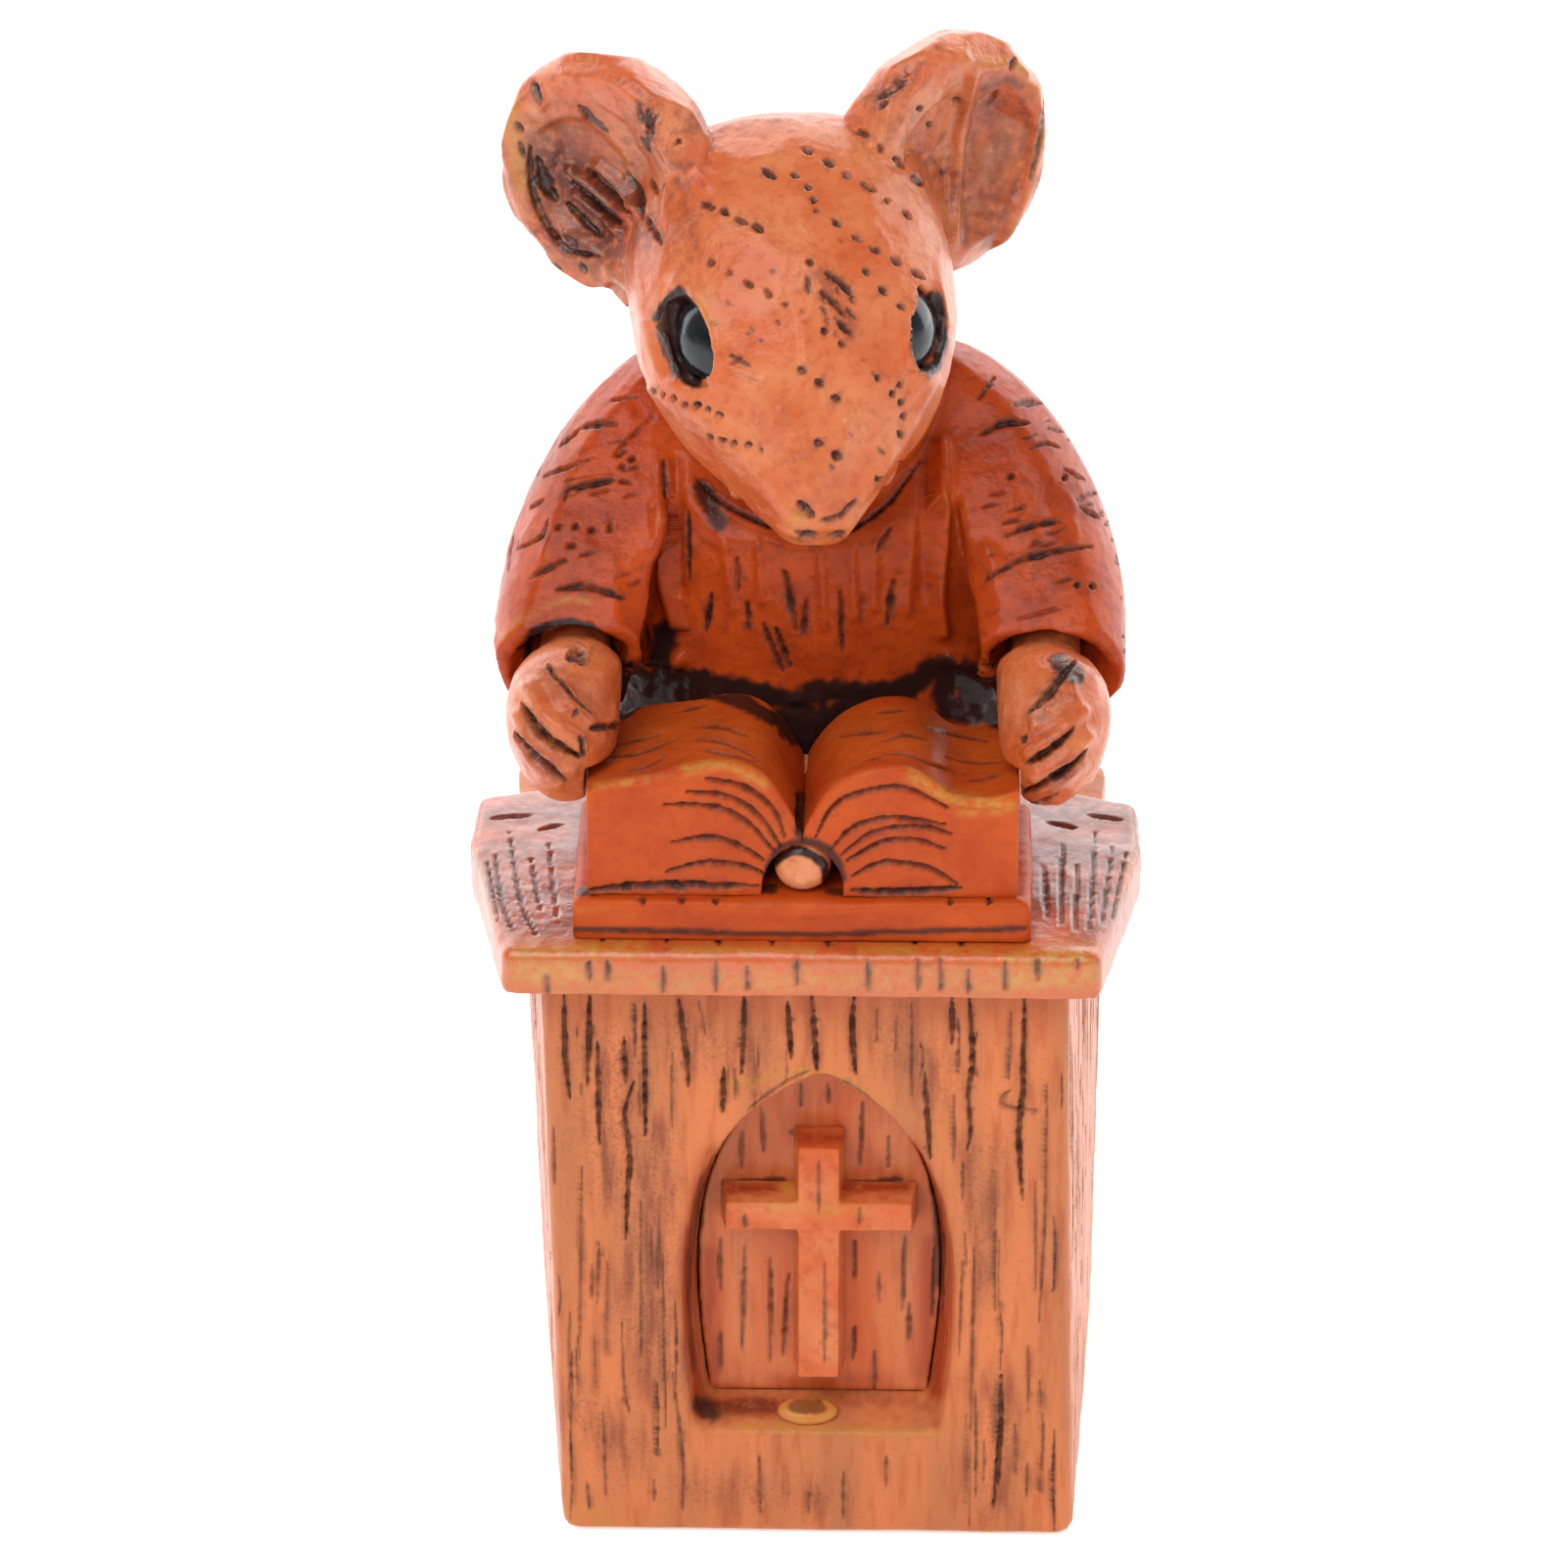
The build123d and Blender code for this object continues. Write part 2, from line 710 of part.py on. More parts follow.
bowl_ball = (bowl_radius ** 2 + bowl_depth ** 2) / (2 * bowl_depth)
left_root = Plane(origin=left_ear_at, x_dir=left_ear_plane.z_dir, z_dir=left_ear_peg_plane.z_dir)
right_root = Plane(origin=right_ear_at, x_dir=right_ear_plane.z_dir, z_dir=right_ear_peg_plane.z_dir)

with BuildPart() as left_ear:
    with BuildSketch(left_ear_plane):
        Circle(ear_radius)
    extrude(amount=ear_thickness / 2, both=True)
    fillet(left_ear.edges().filter_by(GeomType.CIRCLE), ear_round)
    for root_way, root_thick, root_tall in root_rows:
        with BuildSketch(left_root.offset(root_way)):
            Ellipse(root_thick, root_tall)
    loft()
    with Locations(left_ear_plane.from_local_coords((0, 0, ear_thickness / 2 - bowl_depth + bowl_ball))):
        Sphere(bowl_ball, mode=Mode.SUBTRACT)
    add(head_form.part, mode=Mode.SUBTRACT)
    with BuildSketch(left_ear_peg_plane):
        Circle(ear_peg_radius)
    extrude(amount=ear_peg_length)
left_ear.part.label = "left_ear"

with BuildPart() as right_ear:
    with BuildSketch(right_ear_plane):
        Circle(ear_radius)
    extrude(amount=ear_thickness / 2, both=True)
    fillet(right_ear.edges().filter_by(GeomType.CIRCLE), ear_round)
    for root_way, root_thick, root_tall in root_rows:
        with BuildSketch(right_root.offset(root_way)):
            Ellipse(root_thick, root_tall)
    loft()
    with Locations(right_ear_plane.from_local_coords((0, 0, ear_thickness / 2 - bowl_depth + bowl_ball))):
        Sphere(bowl_ball, mode=Mode.SUBTRACT)
    add(head_form.part, mode=Mode.SUBTRACT)
    with BuildSketch(right_ear_peg_plane):
        Circle(ear_peg_radius)
    extrude(amount=ear_peg_length)
right_ear.part.label = "right_ear"

# head with sockets for eyes, ears and pin
with BuildPart() as head:
    add(head_form.part)
    for eye_plane in (left_eye_plane, right_eye_plane):
        with BuildSketch(eye_plane):
            Ellipse(eye_half_width + hollow_rim, eye_half_length + hollow_rim)
        extrude(amount=hollow_reach, mode=Mode.SUBTRACT)
        with BuildSketch(eye_plane):
            Ellipse(eye_half_width + glue_gap, eye_half_length + glue_gap)
        extrude(amount=-(eye_seat + glue_gap), mode=Mode.SUBTRACT)
    with BuildSketch(left_ear_peg_plane):
        Circle(ear_peg_radius + glue_gap)
    extrude(amount=ear_peg_length + socket_end, mode=Mode.SUBTRACT)
    with BuildSketch(right_ear_peg_plane):
        Circle(ear_peg_radius + glue_gap)
    extrude(amount=ear_peg_length + socket_end, mode=Mode.SUBTRACT)
    add(dowel_bore.part, mode=Mode.SUBTRACT)
head.part.label = "head"

cuff_row = sleeve_rows[-1]
cuff_side, cuff_y, cuff_height = cuff_row[0]
cuff_dir = cuff_row[1]

# room for the book between the sleeves
with BuildPart() as book_room:
    with BuildSketch(Plane.XY.offset(board_top_z)):
        with Locations((book_x, page_front_y)):
            Rectangle(
                2 * (page_half + paw_gap),
                page_depth + paw_gap,
                align=(Align.CENTER, Align.MIN),
            )
    extrude(amount=book_room_height)

# left sleeve
left_cuff = Plane(
    origin=(mouse_x - cuff_side, cuff_y, body_height + cuff_height), x_dir=(1, 0, 0), z_dir=cuff_dir
)
with BuildPart() as left_sleeve:
    for place, run, half_side, half_up in sleeve_rows:
        sleeve_plane = Plane(
            origin=(mouse_x - place[0], place[1], body_height + place[2]),
            x_dir=(-run[2], 0, -run[0]),
            z_dir=(-run[0], run[1], run[2]),
        )
        with BuildSketch(sleeve_plane):
            Ellipse(half_side, half_up)
    loft()
    split(bisect_by=left_cut, keep=Keep.TOP)
    split(bisect_by=robe_seat, keep=Keep.BOTTOM)
    add(book_room.part, mode=Mode.SUBTRACT)
    with BuildSketch(left_cuff):
        Ellipse(cuff_row[2] - cuff_wall, cuff_row[3] - cuff_wall)
    with BuildSketch(left_cuff.offset(-cuff_depth)):
        Circle(wrist_radius + glue_gap)
    loft(mode=Mode.SUBTRACT)
    with BuildSketch(left_cuff.offset(-cuff_depth)):
        Circle(wrist_radius + glue_gap)
    extrude(amount=-(wrist_length - cuff_depth), mode=Mode.SUBTRACT)
    with BuildSketch(left_peg_plane):
        Circle(sleeve_peg_radius)
    extrude(amount=-sleeve_peg_length)
left_sleeve.part.label = "left_sleeve"

# right sleeve
right_cuff = Plane(
    origin=(mouse_x + cuff_side, cuff_y, body_height + cuff_height), x_dir=(1, 0, 0), z_dir=cuff_dir
)
with BuildPart() as right_sleeve:
    for place, run, half_side, half_up in sleeve_rows:
        sleeve_plane = Plane(
            origin=(mouse_x + place[0], place[1], body_height + place[2]),
            x_dir=(-run[2], 0, run[0]),
            z_dir=(run[0], run[1], run[2]),
        )
        with BuildSketch(sleeve_plane):
            Ellipse(half_side, half_up)
    loft()
    split(bisect_by=right_cut, keep=Keep.TOP)
    split(bisect_by=robe_seat, keep=Keep.BOTTOM)
    add(book_room.part, mode=Mode.SUBTRACT)
    with BuildSketch(right_cuff):
        Ellipse(cuff_row[2] - cuff_wall, cuff_row[3] - cuff_wall)
    with BuildSketch(right_cuff.offset(-cuff_depth)):
        Circle(wrist_radius + glue_gap)
    loft(mode=Mode.SUBTRACT)
    with BuildSketch(right_cuff.offset(-cuff_depth)):
        Circle(wrist_radius + glue_gap)
    extrude(amount=-(wrist_length - cuff_depth), mode=Mode.SUBTRACT)
    with BuildSketch(right_peg_plane):
        Circle(sleeve_peg_radius)
    extrude(amount=-sleeve_peg_length)
right_sleeve.part.label = "right_sleeve"

# room for the page block between the paws
with BuildPart() as page_room:
    with BuildSketch(Plane.XY.offset(board_top_z)):
        with Locations((book_x, page_front_y)):
            Rectangle(
                2 * (page_half + paw_gap),
                page_depth + paw_gap,
                align=(Align.CENTER, Align.MIN),
            )
    extrude(amount=page_edge_z - board_top_z)
fist_dir = (0, -math.cos(math.radians(fist_pitch)), -math.sin(math.radians(fist_pitch)))

# left paw, closed round the page edge
with BuildPart() as left_paw:
    with BuildSketch(left_cuff.offset(-wrist_set)):
        Circle(wrist_radius)
    for place, half_side, half_up in fist_rows:
        fist_plane = Plane(
            origin=(mouse_x - place[0], place[1], body_height + place[2]), x_dir=(1, 0, 0), z_dir=fist_dir
        )
        with BuildSketch(fist_plane):
            Ellipse(half_side, half_up)
    loft()
    with BuildSketch(left_cuff.offset(-wrist_set)):
        Circle(wrist_radius)
    extrude(amount=-(wrist_length - wrist_set - socket_end))
    add(page_room.part, mode=Mode.SUBTRACT)
left_paw.part.label = "left_paw"

# right paw, closed round the page edge
with BuildPart() as right_paw:
    with BuildSketch(right_cuff.offset(-wrist_set)):
        Circle(wrist_radius)
    for place, half_side, half_up in fist_rows:
        fist_plane = Plane(
            origin=(mouse_x + place[0], place[1], body_height + place[2]), x_dir=(1, 0, 0), z_dir=fist_dir
        )
        with BuildSketch(fist_plane):
            Ellipse(half_side, half_up)
    loft()
    with BuildSketch(right_cuff.offset(-wrist_set)):
        Circle(wrist_radius)
    extrude(amount=-(wrist_length - wrist_set - socket_end))
    add(page_room.part, mode=Mode.SUBTRACT)
right_paw.part.label = "right_paw"

export_step(pulpit_body.part, "parts/pulpit_body.step")
export_step(niche_panel.part, "parts/niche_panel.step")
export_step(niche_cross.part, "parts/niche_cross.step")
export_step(cross_mound.part, "parts/cross_mound.step")
export_step(desk_board.part, "parts/desk_board.step")
export_step(book_cover.part, "parts/book_cover.step")
export_step(left_pages.part, "parts/left_pages.step")
export_step(right_pages.part, "parts/right_pages.step")
export_step(book_spine.part, "parts/book_spine.step")
export_step(robe.part, "parts/robe.step")
export_step(robe_front.part, "parts/robe_front.step")
export_step(neck_dowel.part, "parts/neck_dowel.step")
export_step(collar.part, "parts/collar.step")
export_step(head.part, "parts/head.step")
export_step(left_eye.part, "parts/left_eye.step")
export_step(right_eye.part, "parts/right_eye.step")
export_step(left_ear.part, "parts/left_ear.step")
export_step(right_ear.part, "parts/right_ear.step")
export_step(left_sleeve.part, "parts/left_sleeve.step")
export_step(right_sleeve.part, "parts/right_sleeve.step")
export_step(left_paw.part, "parts/left_paw.step")
export_step(right_paw.part, "parts/right_paw.step")
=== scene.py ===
"""Dressed model of a cast shelf ornament: a mouse in a gown reads a book at a small pulpit.

Lengths are metres in the frame of the solid model, unless a name or a docstring says otherwise.
Carved marks are given in pixels of the photograph, a square picture PhotoView.side pixels wide.
PIT_DEPTH is the depth of a punched pit in millimetres.
"""

import logging
import math
from dataclasses import dataclass, field
from enum import Enum

import bmesh
import bpy
import numpy as np
from mathutils import Matrix, Vector
from mathutils.bvhtree import BVHTree


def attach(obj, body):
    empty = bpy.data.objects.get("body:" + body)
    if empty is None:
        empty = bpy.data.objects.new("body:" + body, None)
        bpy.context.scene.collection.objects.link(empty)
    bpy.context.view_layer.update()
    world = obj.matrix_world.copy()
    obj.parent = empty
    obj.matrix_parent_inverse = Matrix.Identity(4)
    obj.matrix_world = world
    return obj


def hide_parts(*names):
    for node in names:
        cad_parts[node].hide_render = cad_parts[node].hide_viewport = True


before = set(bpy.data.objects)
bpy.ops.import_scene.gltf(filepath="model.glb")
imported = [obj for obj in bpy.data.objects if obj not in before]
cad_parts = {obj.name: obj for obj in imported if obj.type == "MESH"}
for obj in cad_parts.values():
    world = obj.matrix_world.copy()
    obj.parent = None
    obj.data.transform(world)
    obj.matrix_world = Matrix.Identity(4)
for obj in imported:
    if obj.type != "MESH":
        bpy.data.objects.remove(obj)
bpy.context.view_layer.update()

LOG = logging.getLogger("mouse_ornament")
MM = 0.001
PIT_DEPTH = 0.42
Point = tuple[float, float]
Path = tuple[Point, ...]
Place = tuple[float, float, float]
Colour = tuple[float, float, float, float]
Socket = bpy.types.NodeSocket


def smoothstep(low: float, high: float, value: np.ndarray) -> np.ndarray:
    """Ease from 0 at low to 1 at high.

    Args:
        low: value that gives 0.
        high: value that gives 1.
        value: numbers to ease.

    Returns:
        The eased numbers.
    """
    share = np.clip((value - low) / (high - low), 0.0, 1.0)
    return share * share * (3.0 - 2.0 * share)


def cast_noise(points: np.ndarray, wave: float, seed: int) -> np.ndarray:
    """Smooth lattice noise between -1 and 1.

    Args:
        points: places, one row each.
        wave: distance over which the noise changes.
        seed: number that picks the pattern.

    Returns:
        One value for each place.
    """
    place = points / wave + 31.7 * seed
    cell = np.floor(place).astype(np.int64)
    part = place - cell
    part = part * part * (3.0 - 2.0 * part)
    total = np.zeros(len(points))
    for corner in range(8):
        step = np.array([corner & 1, (corner >> 1) & 1, corner >> 2])
        spot = cell + step
        mixed = spot[:, 0] * 73856093 ^ spot[:, 1] * 19349663 ^ spot[:, 2] * 83492791 ^ seed * 2654435761
        mixed = (mixed ^ (mixed >> 13)) * 1274126177
        value = ((mixed ^ (mixed >> 16)) & 0xFFFF) / 32767.5 - 1.0
        weight = np.prod(np.where(step == 1, part, 1.0 - part), axis=1)
        total += weight * value
    return total


class Flat:
    """A way to lay points of the ornament out flat, in pixels."""

    def pixels(self, points: np.ndarray) -> np.ndarray:
        """Lay points out flat.

        Args:
            points: places in metres, one row each.

        Returns:
            Pixel columns and rows, one row each.
        """
        raise NotImplementedError

    def facing(self, points: np.ndarray, normals: np.ndarray) -> np.ndarray:
        """Tell how squarely a surface faces this view.

        Args:
            points: places in metres.
            normals: outward directions there.

        Returns:
            1 for square on, 0 for edge on, below 0 for turned away.
        """
        raise NotImplementedError

    def slide(self, shift: Point) -> np.ndarray:
        """Turn a move across this view into a move of the surface.

        Args:
            shift: pixels across and down.

        Returns:
            The move in metres.
        """
        raise NotImplementedError


@dataclass(frozen=True)
class PhotoView(Flat):
    """The camera of the photograph, in millimetres and degrees."""

    target: Place = (-2.825, 0.0, 54.917)
    elevation: float = 27.0
    azimuth: float = 1.2
    distance: float = 620.0
    focal: float = 8680.0
    side: float = 1601.0
    sensor: float = 36.0

    def away(self) -> np.ndarray:
        """Give the direction from the ornament to the camera.

        Returns:
            The direction, one long.
        """
        rise = math.radians(self.elevation)
        turn = math.radians(self.azimuth)
        return np.array([math.cos(rise) * math.sin(turn), -math.cos(rise) * math.cos(turn), math.sin(rise)])

    def eye(self) -> np.ndarray:
        """Give the place of the camera.

        Returns:
            The place in metres.
        """
        return (np.array(self.target) + self.distance * self.away()) * MM

    def right(self) -> np.ndarray:
        """Give the direction of the picture's right side.

        Returns:
            The direction, one long.
        """
        turn = math.radians(self.azimuth)
        return np.array([math.cos(turn), math.sin(turn), 0.0])

    def pixels(self, points: np.ndarray) -> np.ndarray:
        """Project points into the photograph.

        Args:
            points: places in metres, one row each.

        Returns:
            Pixel columns and rows, one row each.
        """
        ray = points - self.eye()
        up = np.cross(self.away(), self.right())
        depth = -ray @ self.away()
        across = self.side / 2 + self.focal * (ray @ self.right()) / depth
        down = self.side / 2 - self.focal * (ray @ up) / depth
        return np.column_stack([across, down])

    def slide(self, shift: Point) -> np.ndarray:
        """Turn a move across the photograph into a move of the surface.

        Args:
            shift: pixels across and down.

        Returns:
            The move in metres.
        """
        up = np.cross(self.away(), self.right())
        return (shift[0] * self.right() - shift[1] * up) * self.distance / self.focal * MM

    def facing(self, points: np.ndarray, normals: np.ndarray) -> np.ndarray:
        """Tell how squarely a surface faces the camera.

        Args:
            points: places in metres.
            normals: outward directions there.

        Returns:
            1 for square on, 0 for edge on, below 0 for turned away.
        """
        ray = self.eye() - points
        ray /= np.linalg.norm(ray, axis=1)[:, None]
        return np.sum(ray * normals, axis=1)

    def build(self) -> bpy.types.Object:
        """Make the camera and hand it to the scene.

        Returns:
            The camera object.
        """
        lens = bpy.data.cameras.new("photo_camera")
        lens.sensor_width = self.sensor
        lens.lens = self.focal / self.side * self.sensor
        lens.clip_start = 0.01
        lens.clip_end = 20.0
        camera = bpy.data.objects.new("photo_camera", lens)
        up = np.cross(self.away(), self.right())
        turn = Matrix([self.right(), up, self.away()]).transposed()
        camera.matrix_world = Matrix.Translation(Vector(self.eye())) @ turn.to_4x4()
        bpy.context.scene.collection.objects.link(camera)
        bpy.context.scene.camera = camera
        return camera


@dataclass(frozen=True)
class SideView(Flat):
    """A square-on view of one side, at the photograph's scale of pixels to the millimetre."""

    out: Place
    right: Place
    up: Place = (0.0, 0.0, 1.0)
    scale: float = 14.0

    def pixels(self, points: np.ndarray) -> np.ndarray:
        """Lay points out flat on this side.

        Args:
            points: places in metres, one row each.

        Returns:
            Pixel columns and rows, one row each.
        """
        across = points @ np.array(self.right)
        down = -(points @ np.array(self.up))
        return np.column_stack([across, down]) * (self.scale / MM)

    def facing(self, points: np.ndarray, normals: np.ndarray) -> np.ndarray:
        """Tell how squarely a surface faces this side, less where the photograph shows it.

        Args:
            points: places in metres.
            normals: outward directions there.

        Returns:
            0 where it is turned away or seen in the photograph, and up to 0.7.
        """
        seen = smoothstep(0.1, 0.3, PHOTO.facing(points, normals))
        return np.maximum(normals @ np.array(self.out) - 0.3, 0.0) * (1.0 - seen)


PHOTO = PhotoView()
LEFT = SideView(out=(-1.0, 0.0, 0.0), right=(0.0, -1.0, 0.0))
RIGHT = SideView(out=(1.0, 0.0, 0.0), right=(0.0, 1.0, 0.0))
BACK = SideView(out=(0.0, 1.0, 0.0), right=(-1.0, 0.0, 0.0))


class MarkKind(Enum):
    """What a mark does to the surface."""

    CUT = "cut"
    RIDGE = "ridge"
    STAIN_AND_SHADE = "stain_and_shade"
    WORN_AND_SHEEN = "worn_and_sheen"
    SHADE = "shade"
    DUST = "dust"
    PLANE = "plane"
    GRAB = "grab"


@dataclass(frozen=True)
class Mark:
    """One stroke of the carver or the painter.

    wide is half the stroke's width in pixels, deep its depth or height in millimetres.
    """

    kind: MarkKind
    path: Path
    wide: float
    deep: float = 0.0
    tone: float = 1.0
    shift: Point = (0.0, 0.0)


def cut(*path: Point, wide: float = 3.2, deep: float = 0.32, tone: float = 1.0) -> Mark:
    """Make a carved groove along a path of pixels.

    Args:
        path: pixels that the groove follows.
        wide: half its width in pixels.
        deep: its depth in millimetres.
        tone: how dark the paint in it is.

    Returns:
        The mark.
    """
    return Mark(MarkKind.CUT, path, wide, deep, tone)


def ridge(*path: Point, wide: float = 8.0, deep: float = 0.3, worn_and_sheen: float = 0.0) -> Mark:
    """Make a raised fold along a path of pixels.

    Args:
        path: pixels that the fold follows.
        wide: half its width in pixels.
        deep: its height in millimetres, below 0 for a hollow.
        worn_and_sheen: how much of the paint on it is worn.

    Returns:
        The mark.
    """
    return Mark(MarkKind.RIDGE, path, wide, deep, worn_and_sheen)


def stain_and_shade(*path: Point, wide: float = 8.0, tone: float = 1.0) -> Mark:
    """Make a pool of dark paint along a path of pixels; it also serves as painted shade in gaps between
    parts, openings and arches.

    Args:
        path: pixels that the patch follows.
        wide: half its width in pixels.
        tone: how strongly it shows.

    Returns:
        The mark.
    """
    return Mark(MarkKind.STAIN_AND_SHADE, path, wide, 0.0, tone)


def worn_and_sheen(*path: Point, wide: float = 8.0, tone: float = 1.0) -> Mark:
    """Make a patch of ochre along a path of pixels: worn glaze, and a painted sheen where it lightens the
    page tops.

    Args:
        path: pixels that the patch follows.
        wide: half its width in pixels.
        tone: how strongly it shows.

    Returns:
        The mark.
    """
    return Mark(MarkKind.WORN_AND_SHEEN, path, wide, 0.0, tone)


def shade(*path: Point, wide: float = 20.0, tone: float = 1.0) -> Mark:
    """Make a patch of painted shade and deeper glaze along a path of pixels.

    Args:
        path: pixels that the patch follows.
        wide: half its width in pixels.
        tone: how strongly it shows.

    Returns:
        The mark.
    """
    return Mark(MarkKind.SHADE, path, wide, 0.0, tone)


def dust(*path: Point, wide: float = 16.0, tone: float = 0.8) -> Mark:
    """Make a patch of dusty smears and specks along a path of pixels.

    Args:
        path: pixels that the patch follows.
        wide: half its width in pixels.
        tone: how strongly it shows.

    Returns:
        The mark.
    """
    return Mark(MarkKind.DUST, path, wide, 0.0, tone)


def plane(*path: Point, wide: float = 12.0, tone: float = 0.8) -> Mark:
    """Make a flat cut inside an outline of pixels.

    Args:
        path: corners of the outline.
        wide: width of its soft border in pixels.
        tone: how flat the cut is.

    Returns:
        The mark.
    """
    return Mark(MarkKind.PLANE, path, wide, 0.0, tone)


def grab(*path: Point, wide: float, shift: Point) -> Mark:
    """Draw the surface along a path of pixels to one side.

    Args:
        path: pixels of the path.
        wide: how far from it the surface still moves, in pixels.
        shift: pixels that it moves across and down.

    Returns:
        The mark.
    """
    return Mark(MarkKind.GRAB, path, wide, shift=shift)


def pit_row(start: Point, end: Point, count: int, long: float = 4.0, wide: float = 4.2) -> list[Mark]:
    """Make a row of short pits, as left by a punch.

    Args:
        start: pixel of the first pit.
        end: pixel of the last pit.
        count: number of pits.
        long: half the length of each pit in pixels.
        wide: half the width of each pit in pixels.

    Returns:
        The marks.
    """
    dice = np.random.default_rng(int(start[0] * 7 + start[1] * 13) % 9973)
    first = np.array(start)
    step = (np.array(end) - first) / max(count - 1, 1)
    run = step / max(np.linalg.norm(step), 1.0) * long
    row = []
    for number in range(count):
        place = first + step * number + dice.normal(0.0, 0.9, 2)
        half = run * dice.uniform(0.7, 1.5) + dice.normal(0.0, 1.0, 2)
        size = wide * dice.uniform(0.7, 1.15)
        tone = dice.uniform(0.75, 1.0)
        row.append(cut(tuple(place - half), tuple(place + half), wide=size, deep=PIT_DEPTH, tone=tone))
    return row


def pits(*places: Point, long: float = 3.0, wide: float = 4.0, lean: Point = (0.8, 0.6)) -> list[Mark]:
    """Make single pits at chosen pixels.

    Args:
        places: pixels of the pits.
        long: half the length of each pit in pixels.
        wide: half the width of each pit in pixels.
        lean: direction in which they lie.

    Returns:
        The marks.
    """
    run = np.array(lean) * long
    spots = [np.array(place) for place in places]
    return [cut(tuple(spot - run), tuple(spot + run), wide=wide, deep=PIT_DEPTH) for spot in spots]


@dataclass(frozen=True)
class Tool:
    """A carving tool: half its width in pixels, its depth in millimetres and the tone of its paint."""

    wide: float
    deep: float
    tone: float

    def cuts(self, paths: list[Path]) -> list[Mark]:
        """Carve a groove along each path.

        Args:
            paths: pixels that each groove follows.

        Returns:
            The marks.
        """
        return [cut(*path, wide=self.wide, deep=self.deep, tone=self.tone) for path in paths]


@dataclass(frozen=True)
class Scatter:
    """Random grooves that run one way over a patch of a flat view, in pixels."""

    low: Point
    high: Point
    count: int
    run: Point
    long: Point
    wide: Point = (1.6, 3.4)
    deep: float = 0.3
    seed: int = 1

    def marks(self) -> list[Mark]:
        """Draw the grooves.

        Returns:
            The marks.
        """
        dice = np.random.default_rng(self.seed)
        found = []
        for _ in range(self.count):
            start = dice.uniform(self.low, self.high)
            reach = dice.uniform(*self.long)
            sway = dice.normal(0.0, 1.6, 2)
            middle = start + np.array(self.run) * reach * 0.5 + sway
            end = start + np.array(self.run) * reach
            wide = dice.uniform(*self.wide)
            tone = dice.uniform(0.45, 1.0)
            deep = self.deep * wide / self.wide[1]
            found.append(cut(tuple(start), tuple(middle), tuple(end), wide=wide, deep=deep, tone=tone))
        return found


def curve(path: np.ndarray, steps: int = 5) -> np.ndarray:
    """Round off a path of pixels, so that it bends smoothly through its points.

    Args:
        path: pixels of the path, one row each.
        steps: pieces between two points.

    Returns:
        Pixels of the smooth path.
    """
    if len(path) < 3:
        return path
    ends = np.vstack([2 * path[0] - path[1], path, 2 * path[-1] - path[-2]])
    share = np.linspace(0.0, 1.0, steps, endpoint=False)[:, None]
    runs = []
    for before, start, end, after in zip(ends, ends[1:], ends[2:], ends[3:]):
        straight = end - before
        bend = 2 * before - 5 * start + 4 * end - after
        twist = 3 * start - before - 3 * end + after
        runs.append(start + 0.5 * (straight * share + bend * share**2 + twist * share**3))
    return np.vstack(runs + [path[-1:]])


def outline_depth(flat: np.ndarray, outline: np.ndarray, border: float) -> np.ndarray:
    """Tell how far inside an outline points lie.

    Args:
        flat: pixels of the points.
        outline: corners of the outline.
        border: width of its soft border in pixels.

    Returns:
        0 outside, 1 at the border's width inside.
    """
    inside = np.zeros(len(flat), dtype=bool)
    for start, end in zip(outline, np.roll(outline, -1, axis=0)):
        spans = (start[1] > flat[:, 1]) != (end[1] > flat[:, 1])
        slope = (end[0] - start[0]) / (end[1] - start[1] + 1e-9)
        inside ^= spans & (flat[:, 0] < start[0] + slope * (flat[:, 1] - start[1]))
    away, _ = Shape.stroke_distance(flat, np.vstack([outline, outline[:1]]))
    return np.where(inside, smoothstep(0.0, border, away), 0.0)


